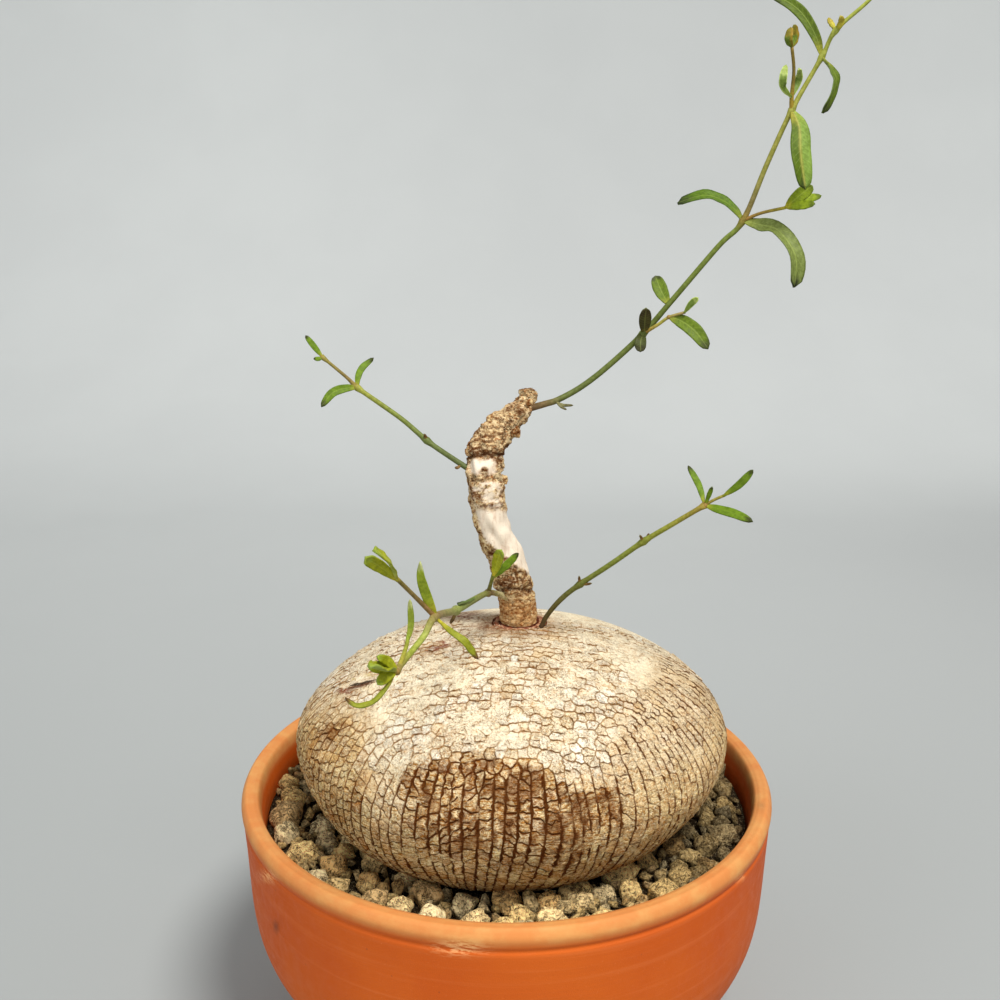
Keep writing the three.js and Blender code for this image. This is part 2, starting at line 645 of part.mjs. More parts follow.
        width: 2, face: [0.1, -0.6, 1], steps: 7 },
      { rib: [[-3.5, -12, 142], [-2.5, -14, 146], [-1.5, -17, 150.5]], width: 3.4, face: [-0.5, -1, 0] },
      { rib: [[-4, -11.2, 140.8], [-0.5, -12, 144.5], [3, -10, 147.5]], width: 2.4, face: [0.4, -1, 0] },
      { rib: [[-12, -48, 145.5], [-12.6, -48.6, 144], [-13.4, -49.2, 142.8]], width: 1.3, steps: 2 },
      { rib: [[-7.9, -24, 140.2], [-9.8, -36, 144], [-12, -47, 147.6]],
        width: 1.8, face: [-0.6, -0.6, 1], steps: 4 },
    ],
  },
};

const STEM_SIDES = 6;
const STEM_STEPS = 2;
const SIDE_STEM_SIDES = 5;
const SIDE_STEM_STEPS = 2;
const JOINT_RADIUS = 1.5;

function shootSolid({ stem: main, sides, joints, leaves }) {
  return addAll([
    stem(main, STEM_SIDES, STEM_STEPS),
    ...sides.map((side) => stem(side, SIDE_STEM_SIDES, SIDE_STEM_STEPS)),
    ...joints.map((place) => joint(place, JOINT_RADIUS)),
    ...leaves.map(blade),
  ]);
}

// The hole that a shoot's foot stands in, wider all round by the gap and a little wider at its mouth
function footHole({ stem: main }) {
  const SUNK = 0.5;
  const HOLE_LENGTH = 6;
  const FLARE = 0.1;
  const [foot, next] = main;
  const start = new THREE.Vector3(...foot);
  const along = new THREE.Vector3(...next).sub(start).normalize();
  const bottom = start.clone().addScaledVector(along, -SUNK);
  const top = start.clone().addScaledVector(along, HOLE_LENGTH);
  const radius = foot[3] + FIT_GAP;
  return stem([[...bottom.toArray(), radius], [...top.toArray(), radius + FLARE]], STEM_SIDES + 1, 1);
}

// Pot
function potSolid() {
  const DRAIN_SIDES = 16;
  let pot = turned([...POT_OUTSIDE, ...POT_INSIDE], POT_SEGMENTS);
  for (let i = 0; i < DRAIN_COUNT; i += 1) {
    const turn = (2 * Math.PI * i) / DRAIN_COUNT + Math.PI / 2;
    const hole = new THREE.CylinderGeometry(DRAIN_RADIUS, DRAIN_RADIUS, 3 * POT_FLOOR, DRAIN_SIDES);
    hole.rotateX(Math.PI / 2);
    hole.translate(DRAIN_CIRCLE_RADIUS * Math.cos(turn), DRAIN_CIRCLE_RADIUS * Math.sin(turn), 0);
    pot = pot.subtract(solidFrom(hole));
  }
  return pot;
}

// Soil with its grit: grains lie close together round the caudex, sunk in the soil
function soilSolid() {
  const LEVEL_DROP = 2.5;
  const GRAIN_CORNERS = 9;
  const CLOSEST = 0.86;
  const SUNK = 0.3;
  const BARE_RADIUS = 46;
  const SMALLEST_SHARE = 0.8;
  const UNEVEN = 0.32;
  const FLATTENED = 0.85;
  const TILT = 1.2;
  const GOLDEN_ANGLE = Math.PI * (3 - Math.sqrt(5));
  const SEED = 7;
  const wallRadius = POT_INSIDE[2][0] - 2 * FIT_GAP;
  const inside = POT_INSIDE.slice(3, POT_INSIDE.length - 1)
    .map(([radius, height]) => [radius - FIT_GAP, height + FIT_GAP])
    .reverse();
  const profile = [
    [0, POT_FLOOR + FIT_GAP],
    ...inside,
    [wallRadius, SOIL_LEVEL],
    [BARE_RADIUS, SOIL_LEVEL - LEVEL_DROP],
    [0, SOIL_LEVEL - LEVEL_DROP],
  ];
  const random = makeRandom(SEED);
  const grains = [];
  for (let i = 0; i < GRAIN_TRIES; i += 1) {
    const size = GRAIN_RADIUS.least + (GRAIN_RADIUS.most - GRAIN_RADIUS.least) * random() ** 1.5;
    const farthest = wallRadius - 0.9 * size;
    const reach = Math.sqrt(BARE_RADIUS ** 2 + (farthest ** 2 - BARE_RADIUS ** 2) * random());
    const turn = random() * Math.PI * 2;
    const x = reach * Math.cos(turn);
    const y = reach * Math.sin(turn);
    const clear = grains.every((g) => Math.hypot(g.x - x, g.y - y) > CLOSEST * (g.size + size));
    if (clear) {
      const level = SOIL_LEVEL - (LEVEL_DROP * (wallRadius - reach)) / (wallRadius - BARE_RADIUS);
      grains.push({ x, y, z: level + SUNK * size, size });
    }
  }
  const shapes = grains.map(({ x, y, z, size }) => {
    const corners = [];
    for (let k = 0; k < GRAIN_CORNERS; k += 1) {
      const height = 1 - (2 * k + 1) / GRAIN_CORNERS;
      const turn = k * GOLDEN_ANGLE + 0.5 * random();
      const flat = Math.sqrt(1 - height * height);
      const far = size * (SMALLEST_SHARE + UNEVEN * random());
      const corner = new THREE.Vector3(flat * Math.cos(turn), flat * Math.sin(turn), height * FLATTENED);
      corners.push(corner.multiplyScalar(far));
    }
    const geometry = new ConvexGeometry(corners);
    geometry.rotateZ(random() * Math.PI * 2);
    geometry.rotateX((random() - 0.5) * TILT);
    geometry.translate(x, y, z);
    return solidFrom(geometry);
  });
  return addAll([turned(profile, POT_SEGMENTS / 2), ...shapes]).subtract(caudexBody(2 * FIT_GAP));
}

// Caudex with the collar that rings the trunk's foot, and the holes for the trunk and the right shoot
function caudexSolid() {
  const COLLAR_RADIUS = 7;
  const COLLAR_THICKNESS = 1.2;
  const COLLAR_HEIGHT = 121.2;
  const COLLAR_SIDES = 6;
  const COLLAR_SEGMENTS = 20;
  const HOLE_LENGTH = 10;
  const [footX, footY, footZ, footRadius] = TRUNK[0];
  const collar = new THREE.TorusGeometry(COLLAR_RADIUS, COLLAR_THICKNESS, COLLAR_SIDES, COLLAR_SEGMENTS);
  collar.translate(footX, footY, COLLAR_HEIGHT);
  const hole = stem(
    [
      [footX, footY, footZ - FIT_GAP, footRadius + FIT_GAP],
      [footX, footY, footZ + HOLE_LENGTH, footRadius + FIT_GAP],
    ],
    TRUNK_SIDES,
    1,
  );
  return caudexBark().add(solidFrom(collar)).subtract(hole).subtract(footHole(SHOOTS.shoot_right));
}

function trunkSolid() {
  const TRUNK_STEPS = 2;
  const wood = addAll([
    stem(TRUNK, TRUNK_SIDES, TRUNK_STEPS, trunkRelief),
    ...TRUNK_KNOTS.map(([x, y, z, radius]) => joint([x, y, z], radius)),
  ]);
  return [SHOOTS.shoot_long, SHOOTS.shoot_left, SHOOTS.shoot_front].reduce(
    (sum, shoot) => sum.subtract(footHole(shoot)),
    wood,
  );
}

const group = new THREE.Group();
group.add(
  meshFrom("pot", potSolid(), POT_COLOUR, 0.85),
  meshFrom("soil", soilSolid(), SOIL_COLOUR, 0.95),
  meshFrom("caudex", caudexSolid(), BARK_COLOUR, 0.85),
  meshFrom("trunk", trunkSolid(), WOOD_COLOUR, 0.85),
);
for (const [name, shoot] of Object.entries(SHOOTS)) {
  group.add(meshFrom(name, shootSolid(shoot), LEAF_COLOUR, 0.6));
}

export default group;
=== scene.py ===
"""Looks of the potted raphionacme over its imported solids. Lengths are in millimetres until a mesh is made."""
import itertools
import math
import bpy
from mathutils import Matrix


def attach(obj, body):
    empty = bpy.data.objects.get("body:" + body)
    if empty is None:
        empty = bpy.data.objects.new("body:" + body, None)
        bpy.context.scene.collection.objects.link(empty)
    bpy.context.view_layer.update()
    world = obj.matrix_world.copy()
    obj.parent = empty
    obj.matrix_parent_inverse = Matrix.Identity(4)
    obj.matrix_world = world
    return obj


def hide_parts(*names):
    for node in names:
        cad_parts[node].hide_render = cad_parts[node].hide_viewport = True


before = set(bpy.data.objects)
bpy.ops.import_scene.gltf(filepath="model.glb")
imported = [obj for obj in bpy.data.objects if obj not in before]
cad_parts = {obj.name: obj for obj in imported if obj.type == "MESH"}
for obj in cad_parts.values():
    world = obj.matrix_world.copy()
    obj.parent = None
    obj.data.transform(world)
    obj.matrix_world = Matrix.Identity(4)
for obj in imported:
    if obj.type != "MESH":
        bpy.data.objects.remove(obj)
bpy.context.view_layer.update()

from types import SimpleNamespace

import bmesh
import bpy
import numpy as np
from mathutils import Vector

MM = 0.001
TAU = 2 * math.pi

# Camera of the photograph: focal length and side of the square picture in pixels, place, and pitch
FOCAL = 1100
PICTURE_SIDE = 1000
EYE = np.array([-1.82, -288.2, 235.5])
PITCH = math.radians(14.79)


def project(points):
    """Pixels (x, y) of points in the photograph."""
    d = points - EYE
    depth = d[:, 1] * math.cos(PITCH) - d[:, 2] * math.sin(PITCH)
    rise = d[:, 1] * math.sin(PITCH) + d[:, 2] * math.cos(PITCH)
    middle = PICTURE_SIDE / 2
    return np.stack([middle + FOCAL * d[:, 0] / depth, middle - FOCAL * rise / depth], 1)


# Numbers and noise
class Lcg:
    """The solids' own repeatable random numbers."""

    def __init__(self, seed):
        self.state = seed

    def __call__(self):
        self.state = (self.state * 1664525 + 1013904223) % 2**32
        return self.state / 2**32


def hash01(x, y, z, seed):
    """A repeatable number from 0 to 1 for each cell of whole numbers."""
    n = (x * 73856093) ^ (y * 19349663) ^ (z * 83492791) ^ (seed * 2654435761)
    n &= 0xFFFFFFFF
    n = ((n ^ (n >> 15)) * 2246822519) & 0xFFFFFFFF
    n = ((n ^ (n >> 13)) * 3266489917) & 0xFFFFFFFF
    return (n ^ (n >> 16)) / 0xFFFFFFFF


def value_noise(p, seed):
    """Smooth noise from -1 to 1 at points p (n, 3), one unit a cell."""
    cell = np.floor(p).astype(np.int64)
    f = p - cell
    f = f * f * (3 - 2 * f)
    total = np.zeros(len(p))
    for dx, dy, dz in itertools.product((0, 1), repeat=3):
        weight = (f[:, 0] if dx else 1 - f[:, 0]) * (f[:, 1] if dy else 1 - f[:, 1])
        weight = weight * (f[:, 2] if dz else 1 - f[:, 2])
        total += weight * hash01(cell[:, 0] + dx, cell[:, 1] + dy, cell[:, 2] + dz, seed)
    return total * 2 - 1


def fbm(p, seed, octaves=4, gain=0.5):
    """Noise from -1 to 1 at points p, with each octave finer and weaker by gain than the one before."""
    total = np.zeros(len(p))
    amplitude = 1.0
    scale = 1.0
    reach = 0.0
    for k in range(octaves):
        total += amplitude * value_noise(p * scale + 17.3 * k, seed + k)
        reach += amplitude
        amplitude *= gain
        scale *= 2.03
    return total / reach


def fbm01(p, seed, octaves=4, gain=0.5):
    """The same noise from 0 to 1."""
    return 0.5 + 0.5 * fbm(p, seed, octaves, gain)


def smooth(edge0, edge1, x):
    """A soft step from 0 at edge0 to 1 at edge1."""
    t = np.clip((x - edge0) / (edge1 - edge0), 0, 1)
    return t * t * (3 - 2 * t)


def linear(rgb):
    """Linear colour of an sRGB one from 0 to 255."""
    c = np.asarray(rgb, float) / 255
    return np.where(c <= 0.04045, c / 12.92, ((c + 0.055) / 1.055) ** 2.4)


def mix(a, b, w):
    """From a at weight 0 to b at weight 1, with one weight for all or one a row."""
    w = np.asarray(w)
    w = w[:, None] if w.ndim == 1 else w
    return np.asarray(a) * (1 - w) + np.asarray(b) * w


def ramp(a, b, w):
    """Linear colours between two sRGB ones, a at weight 0 and b at weight 1."""
    return mix(linear(a), linear(b), w)


def coat(colours, rgb, w):
    """Linear colours with an sRGB one over them by weight w."""
    return mix(colours, linear(rgb), w)


def unit(v):
    return v / np.maximum(np.linalg.norm(v, axis=-1, keepdims=True), 1e-9)


def turns(count):
    """Angles of count equal steps round a circle."""
    return np.arange(count) * TAU / count


def spots(px, places, spread=1.0):
    """Sum at pixels px of soft ellipses (x, y, half width, half height, weight)."""
    total = 0
    for x, y, across, down, weight in places:
        far = ((px[:, 0] - x) / (spread * across)) ** 2 + ((px[:, 1] - y) / (spread * down)) ** 2
        total = total + weight * np.exp(-far)
    return total


# Meshes
class Build:
    """Gathers points, faces and what each point carries, then makes one piece of them."""

    def __init__(self):
        self.points = []
        self.faces = []
        self.tints = []
        self.maps = []
        self.count = 0

    def add(self, points, faces, tints, maps=None):
        """Adds faces over points with linear colours (one, or one a point) and what else the look reads."""
        n = len(points)
        tints = np.asarray(tints, float)
        if tints.ndim == 1:
            tints = np.tile(tints, (n, 1))
        maps = np.zeros((n, 3)) if maps is None else maps
        used = np.unique(np.fromiter((i for f in faces for i in f), int))
        place = np.zeros(n, int)
        place[used] = np.arange(len(used)) + self.count
        self.points.append(points[used])
        self.tints.append(tints[used])
        self.maps.append(maps[used])
        self.faces.extend([tuple(int(place[i]) for i in f) for f in faces])
        self.count += len(used)

    def piece(self, name, node, material, sharp=None):
        """Makes a piece that stands for a node of the solids, its edges over sharp degrees left sharp."""
        mesh = bpy.data.meshes.new(name)
        mesh.from_pydata((np.concatenate(self.points) * MM).tolist(), [], self.faces)
        colours = np.ones((self.count, 4), np.float32)
        colours[:, :3] = np.concatenate(self.tints)
        mesh.attributes.new("tint", "FLOAT_COLOR", "POINT").data.foreach_set("color", colours.ravel())
        maps = np.concatenate(self.maps).astype(np.float32)
        mesh.attributes.new("place", "FLOAT_VECTOR", "POINT").data.foreach_set("vector", maps.ravel())
        mesh.polygons.foreach_set("use_smooth", [True] * len(mesh.polygons))
        if sharp is not None:
            mesh.set_sharp_from_angle(angle=math.radians(sharp))
        mesh.materials.append(material)
        mesh.update()
        obj = bpy.data.objects.new(name, mesh)
        bpy.context.scene.collection.objects.link(obj)
        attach(obj, "root")
        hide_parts(node)
        return obj


def ring_points(reach, height, turn):
    """Points round the z axis at one height."""
    return np.stack([reach * np.cos(turn), reach * np.sin(turn), np.full(len(turn), height)], 1)


def grid_faces(rows, columns, wrap=True, flip=False):
    """Quads of a grid of rows x columns points."""
    faces = []
    last = columns if wrap else columns - 1
    for i in range(rows - 1):
        for j in range(last):
            here, above = i * columns, (i + 1) * columns
            k = (j + 1) % columns
            quad = (here + j, here + k, above + k, above + j)
            faces.append(quad[::-1] if flip else quad)
    return faces


def tube_faces(rings, sides):
    """Quads of a tube, and a cap at each end."""
    last = (rings - 1) * sides
    return grid_faces(rings, sides) + [tuple(range(sides))[::-1], tuple(range(last, last + sides))]


def sheet_faces(rows, columns, flip):
    """Faces of a thin sheet: a grid of points, the same grid under it, and the edge between them."""
    n = rows * columns
    faces = grid_faces(rows, columns, wrap=False, flip=flip)
    faces += [tuple(i + n for i in f)[::-1] for f in faces]
    border = list(range(columns)) + [i * columns + columns - 1 for i in range(1, rows)]
    border += [n - 1 - j for j in range(1, columns)] + [i * columns for i in range(rows - 2, 0, -1)]
    for a, b in zip(border, border[1:] + border[:1]):
        faces.append((a, b, b + n, a + n) if flip else (b, a, a + n, b + n))
    return faces


def curve_points(points, per_span):
    """Catmull-Rom curve through points: places and directions, per_span steps for each span."""
    p = np.asarray(points, float)
    p = np.vstack([2 * p[0] - p[1], p, 2 * p[-1] - p[-2]])
    n = len(points)
    t = np.linspace(0, n - 1, (n - 1) * per_span + 1)
    i = np.minimum(t.astype(int), n - 2)
    w = (t - i)[:, None]
    p0, p1, p2, p3 = (p[i + k] for k in range(4))
    m1 = 0.5 * (p2 - p0)
    m2 = 0.5 * (p3 - p1)
    place = (2 * w**3 - 3 * w**2 + 1) * p1 + (w**3 - 2 * w**2 + w) * m1
    place = place + (3 * w**2 - 2 * w**3) * p2 + (w**3 - w**2) * m2
    along = (6 * w**2 - 6 * w) * p1 + (3 * w**2 - 4 * w + 1) * m1
    along = along + (6 * w - 6 * w**2) * p2 + (3 * w**2 - 2 * w) * m2
    return place, unit(along)


def tube_rings(stations, per_span, sides):
    """Middles, directions out and radii of a tube's rings through stations (x, y, z, radius).

    The side directions are carried along the curve as steadily as in the solids."""
    place, along = curve_points([s[:3] for s in stations], per_span)
    side = np.array([1.0, 0, 0])
    side_ways = []
    for a in along:
        side = side - a * side.dot(a)
        side = side / np.linalg.norm(side)
        side_ways.append(side)
    side_ways = np.array(side_ways)
    up_ways = np.cross(along, side_ways)
    angle = turns(sides)
    out = side_ways[:, None] * np.cos(angle)[:, None] + up_ways[:, None] * np.sin(angle)[:, None]
    radius = np.interp(np.arange(len(place)) / per_span, range(len(stations)), [s[3] for s in stations])
    return place, out, radius


def icosphere(level):
    bm = bmesh.new()
    bmesh.ops.create_icosphere(bm, subdivisions=level, radius=1)
    points = np.array([v.co[:] for v in bm.verts])
    faces = [tuple(v.index for v in f.verts) for f in bm.faces]
    bm.free()
    return points, faces


# Materials
def rgba(rgb):
    return (*linear(rgb).tolist(), 1.0)


class Look:
    """A node material in the making, with layers of colour on the mesh's own tint, and bumps on bumps.

    A colour is a socket or an sRGB one from 0 to 255. Noises and cells take their size from the place
    they're given, in mm."""

    def __init__(self, name, roughness, specular):
        self.material = bpy.data.materials.new(name)
        self.material.use_nodes = True
        self.tree = self.material.node_tree
        self.shader = self.tree.nodes["Principled BSDF"].inputs
        self.put(self.shader["Roughness"], roughness)
        self.put(self.shader["Specular IOR Level"], specular)
        self.tint = self.attribute("tint", "Color")
        self.colour = self.tint
        self.normal = None

    def put(self, socket, value):
        if isinstance(value, bpy.types.NodeSocket):
            self.tree.links.new(value, socket)
        else:
            socket.default_value = value

    def node(self, kind, inputs, **settings):
        node = self.tree.nodes.new(kind)
        for key, value in settings.items():
            setattr(node, key, value)
        for key, value in inputs.items():
            self.put(node.inputs[key], value)
        return node.outputs

    def attribute(self, name, output):
        return self.node("ShaderNodeAttribute", {}, attribute_name=name)[output]

    def scaled(self, vector, factors):
        return self.node("ShaderNodeVectorMath", {0: vector, 1: factors}, operation="MULTIPLY")[0]

    def place(self, x=1.0, y=1.0, z=1.0):
        """Object coordinates in mm, stretched."""
        coordinates = self.node("ShaderNodeTexCoord", {})["Object"]
        return self.scaled(coordinates, (x / MM, y / MM, z / MM))

    def parts(self, value, kind="Color"):
        """The three parts of a colour or, with XYZ for kind, of a vector."""
        return list(self.node("ShaderNodeSeparate" + kind, {0: value}))

    def noise(self, vector, scale, detail, roughness, distortion=0.0):
        inputs = {"Vector": vector, "Scale": scale, "Detail": detail, "Roughness": roughness}
        inputs["Distortion"] = distortion
        return self.node("ShaderNodeTexNoise", inputs)["Fac"]

    def cells(self, vector, scale, feature="F1", output="Distance"):
        return self.node("ShaderNodeTexVoronoi", {"Vector": vector, "Scale": scale}, feature=feature)[output]

    def math(self, operation, a, b=0.0):
        return self.node("ShaderNodeMath", {0: a, 1: b}, operation=operation)[0]

    def times(self, *factors):
        product = factors[0]
        for factor in factors[1:]:
            product = self.math("MULTIPLY", product, factor)
        return product

    def less(self, a, b):
        return self.math("SUBTRACT", a, b)

    def apart(self, a, b):
        """How far a is from b."""
        return self.math("ABSOLUTE", self.less(a, b))

    def span(self, value, low, high, to_low=0.0, to_high=1.0, soft=True):
        """A step from to_low at low to to_high at high, soft or straight."""
        inputs = {"Value": value, "From Min": low, "From Max": high, "To Min": to_low, "To Max": to_high}
        kind = "SMOOTHSTEP" if soft else "LINEAR"
        return self.node("ShaderNodeMapRange", inputs, interpolation_type=kind)["Result"]

    def blend(self, amount, under, over, kind="MIX"):
        inputs = {0: amount}
        for socket, colour in ((6, under), (7, over)):
            inputs[socket] = rgba(colour) if isinstance(colour, tuple) else colour
        return self.node("ShaderNodeMix", inputs, data_type="RGBA", blend_type=kind)[2]

    def tinted(self, colour):
        """The tint darkened by a colour."""
        return self.blend(1.0, self.tint, colour, "MULTIPLY")

    def paint(self, colour, *amounts):
        """Lays a colour on, by the product of the amounts."""
        self.colour = self.blend(self.times(*amounts), self.colour, colour)

    def bump(self, height, strength, distance):
        inputs = {"Height": height, "Strength": strength, "Distance": distance * MM}
        if self.normal is not None:
            inputs["Normal"] = self.normal
        self.normal = self.node("ShaderNodeBump", inputs)[0]

    def finish(self, **inputs):
        """The material, with its colour, its bumps and other inputs of the shader."""
        self.put(self.shader["Base Color"], self.colour)
        if self.normal is not None:
            self.put(self.shader["Normal"], self.normal)
        for name, value in inputs.items():
            self.put(self.shader[name], value)
        return self.material


def terracotta_look():
    """Clay with grain, specks and thrown bands. Its tint: marks, holes, and the lip's rubbed patches and
    painted highlight.
    """
    look = Look("terracotta", 0.68, 0.2)
    where = look.place()
    clay = look.noise(where, 0.02, 5, 0.55)
    look.colour = look.blend(look.span(clay, 0.3, 0.7), (181, 76, 12), (191, 88, 18))
    grain = look.noise(where, 2.2, 3, 0.6)
    look.paint((236, 150, 96), look.span(grain, 0.62, 0.8, 0, 0.25))
    specks = look.cells(where, 0.22)
    look.paint((120, 62, 34), look.span(specks, 0.07, 0.02, 0, 0.55))
    bands = look.noise(look.place(0.012, 0.012, 0.55), 1.0, 3, 0.6)
    look.paint((236, 146, 92), look.span(bands, 0.52, 0.7, 0, 0.09))
    marked, holed, worn_and_lit = look.parts(look.tint)
    chalk = look.noise(look.place(0.35, 0.35, 1.6), 1.0, 5, 0.7)
    look.paint((238, 180, 120), look.span(chalk, 0.42, 0.56), marked, 0.8)
    look.paint((92, 44, 26), holed, 0.75)
    # the lip is paler on top: rubbed, and a painted highlight from the light above
    wear_and_light = look.noise(where, 0.12, 5, 0.65)
    look.paint((198, 150, 88), worn_and_lit, look.span(wear_and_light, 0.35, 0.7, 0.6, 1.0))
    look.bump(bands, 0.15, 0.3)
    look.bump(look.noise(where, 3.2, 3, 0.65), 0.22, 0.25)
    shine = look.noise(where, 0.3, 4, 0.6)
    return look.finish(Roughness=look.span(shine, 0.3, 0.7, 0.5, 0.72, soft=False))


def grit_look():
    """Pumice: rough, with pale minerals, winding hollows, and pores of two sizes in places."""
    look = Look("pumice_grit", 0.92, 0.05)
    where = look.place()
    pores = look.cells(where, 1.3)
    fine_pores = look.cells(where, 2.9)
    rough = look.noise(where, 0.9, 6, 0.75)
    mineral = look.noise(where, 2.1, 4, 0.7)
    dark = look.tinted((118, 94, 64))
    look.paint(dark, look.span(rough, 0.48, 0.62, 0, 0.6))
    look.paint((236, 216, 170), look.span(mineral, 0.55, 0.66, 0, 0.6))
    look.paint(dark, look.span(mineral, 0.42, 0.32, 0, 0.5))
    winding = look.apart(look.noise(where, 0.34, 4, 0.6, 1.0), 0.5)
    look.paint((66, 48, 28), look.span(winding, 0.022, 0.008), 0.75)
    pitted = look.span(look.noise(where, 0.4, 3, 0.6), 0.4, 0.6)
    look.paint((62, 44, 24), look.span(pores, 0.28, 0.16, 0, 0.8), pitted)
    look.paint((70, 52, 30), look.span(fine_pores, 0.24, 0.1, 0, 0.7), pitted)
    look.bump(rough, 1.0, 1.8)
    look.bump(look.span(winding, 0.0, 0.05), 1.0, 0.7)
    look.bump(look.span(pores, 0.14, 0.4), 1.0, 0.7)
    look.bump(look.span(fine_pores, 0.1, 0.3), 0.8, 0.3)
    return look.finish()


def bark_look():
    """Caudex bark. The mesh's place holds distance round, distance down, and how lined the plate is."""
    look = Look("caudex_bark", 0.85, 0.04)
    where = look.place()
    place = look.attribute("place", "Vector")
    lined = look.parts(place, "XYZ")[2]
    shade = look.tinted((200, 156, 98))
    deep = look.tinted((156, 104, 54))
    # small flakes, each with its own tone, height and thin edge
    flake = look.parts(look.cells(where, 1.05, output="Color"))[0]
    patchy = look.span(look.noise(where, 0.16, 3, 0.6), 0.42, 0.56)
    look.paint(shade, look.span(flake, 0.4, 1.0, 0, 0.45, soft=False), patchy)
    seam = look.span(look.cells(where, 1.05, "DISTANCE_TO_EDGE"), 0.08, 0.02)
    broken = look.times(patchy, look.span(look.noise(where, 0.9, 2, 0.5), 0.5, 0.6))
    look.paint(deep, seam, broken, 0.8)
    # level lines on the plates low down
    lines = look.noise(look.scaled(place, (0.5, 2.3, 0.0)), 1.0, 4, 0.65, 0.4)
    look.paint(shade, look.span(lines, 0.5, 0.56), look.span(lined, 0.0, 0.8, 0.1, 1.0, soft=False))
    # short broken cracks within the plates, with specks, fewer where the bark is smooth
    coarse = look.span(lined, -0.8, 0.0, 0.25, 1.0, soft=False)
    crack = look.span(look.apart(look.noise(where, 0.7, 4, 0.6, 1.2), 0.5), 0.014, 0.005)
    crack = look.times(crack, look.span(look.noise(where, 0.21, 2, 0.5), 0.4, 0.54), coarse)
    look.paint(deep, crack, 0.85)
    speckle = look.noise(where, 1.5, 3, 0.7)
    look.paint(shade, look.span(speckle, 0.56, 0.66, 0, 0.85), coarse)
    # pale specks on the pale plates: painted highlights of the fine relief
    pale = look.span(look.parts(look.tint)[1], 0.2, 0.5)
    look.paint((255, 242, 208), look.span(speckle, 0.45, 0.35, 0, 0.55), pale)
    dots = look.noise(where, 2.6, 2, 0.6)
    look.paint(deep, look.span(dots, 0.62, 0.7, 0, 0.8), coarse)
    blotch = look.noise(where, 0.3, 4, 0.6)
    look.paint(shade, look.span(blotch, 0.55, 0.8, 0, 0.3))
    look.bump(lines, 0.8, 0.5)
    look.bump(look.times(flake, patchy), 0.8, 0.45)
    look.bump(look.less(speckle, look.times(crack, 0.4)), 1.0, 1.0)
    return look.finish()


def wood_look():
    """Corky bark of the neck. The mesh's place holds where the wood is bare."""
    look = Look("neck_bark", 0.85, 0.06)
    bare = look.parts(look.attribute("place", "Vector"), "XYZ")[2]
    corky = look.less(1.0, bare)
    speckle = look.noise(look.place(0.9, 0.9, 1.7), 1.0, 5, 0.7)
    pits = look.cells(look.place(), 1.1)
    shade = look.tinted((176, 122, 70))
    look.paint(shade, look.span(speckle, 0.52, 0.6, 0, 0.9), corky)
    # pale specks on the cork: painted highlights
    look.paint((236, 216, 176), look.span(speckle, 0.46, 0.34, 0, 0.5), corky)
    look.paint((116, 70, 34), look.span(pits, 0.26, 0.1, 0, 0.75), corky)
    streaks = look.noise(look.place(0.9, 0.9, 0.25), 1.0, 4, 0.6)
    look.paint(shade, look.span(streaks, 0.45, 0.75, 0, 0.4))
    look.bump(speckle, look.span(corky, 0.0, 1.0, 0.12, 0.9, soft=False), 0.6)
    look.bump(look.span(pits, 0.1, 0.3), 0.35, 0.3)
    return look.finish()


def leaf_look():
    """Leaves and stems. The mesh's place holds across (-1 to 1), along, and how far it is a blade."""
    look = Look("leaves", 0.55, 0.17)
    where = look.place()
    side, along, is_blade = look.parts(look.attribute("place", "Vector"), "XYZ")
    across = look.math("ABSOLUTE", side)
    # side veins leave the midrib at a slant
    slant = look.less(look.times(along, 11.0), look.times(across, 1.3))
    wave = look.math("PINGPONG", slant, 0.5)
    side_veins = look.times(look.span(wave, 0.1, 0.0), look.span(across, 1.0, 0.75), 0.7)
    midrib = look.span(across, 0.13, 0.04)
    veins = look.times(look.math("MAXIMUM", side_veins, midrib), is_blade)
    mottle = look.noise(where, 1.0, 4, 0.65)
    look.paint(look.tinted((186, 192, 140)), look.span(mottle, 0.38, 0.62, 0, 0.6))
    look.paint(look.blend(0.55, look.tint, (206, 222, 120)), veins, 0.18)
    look.bump(look.less(1.0, veins), 0.35, 0.25)
    look.bump(look.noise(where, 2.4, 3, 0.6), 0.15, 0.2)
    glow = {"Subsurface Weight": 0.06, "Subsurface Radius": (0.6 * MM, 0.8 * MM, 0.2 * MM)}
    return look.finish(**glow)


def stage_look():
    look = Look("studio", 0.9, 0.1)
    right, behind, _ = look.parts(look.place(MM, MM, MM), "XYZ")
    # painted shade: the floor darker in front, paler up the wall behind
    look.colour = look.blend(look.span(behind, -0.2, 0.95), (146, 150, 150), (206, 210, 210))
    # painted shade: the floor is darker to the right, and the wall behind the plant
    grey = (148, 150, 151)
    look.paint(grey, look.span(right, -0.1, 0.7, 0, 0.6), look.span(behind, 0.75, 0.4))
    look.paint(grey, look.span(look.apart(right, 0.15), 0.5, 0.05, 0, 0.18), look.span(behind, 0.65, 1.0))
    grain = look.noise(look.place(0.01, 0.01, 0.01), 1.0, 3, 0.5)
    look.paint((160, 164, 166), look.span(grain, 0.3, 0.7, 0, 0.06))
    return look.finish()


# Pot
# Outline as (radius, height), from the foot over the lip to the floor inside
POT_FOOT = [(46.0, 0.0), (46.6, 0.25)]
POT_OUTSIDE = [(47, 1.2), (60.8, 20), (66.6, 28.5), (70.8, 36.5), (73.2, 47), (74.2, 66), (74.5, 72.6)]
POT_LIP = [
    (74.5, 72.6), (74.25, 73.6), (74.7, 74.8), (74.9, 77), (73.8, 78.9), (72.4, 79), (71.2, 78.8), (70, 77.6),
    (69, 72),
]
POT_INSIDE = [(69, 72), (68.2, 60), (66.6, 46), (60.5, 31), (48, 13), (41, 8)]
POT_FLOOR = 8
POT_SIDES = 176
DRAIN_HOLES = 3
DRAIN_RADIUS = 4.5
DRAIN_CIRCLE = 22
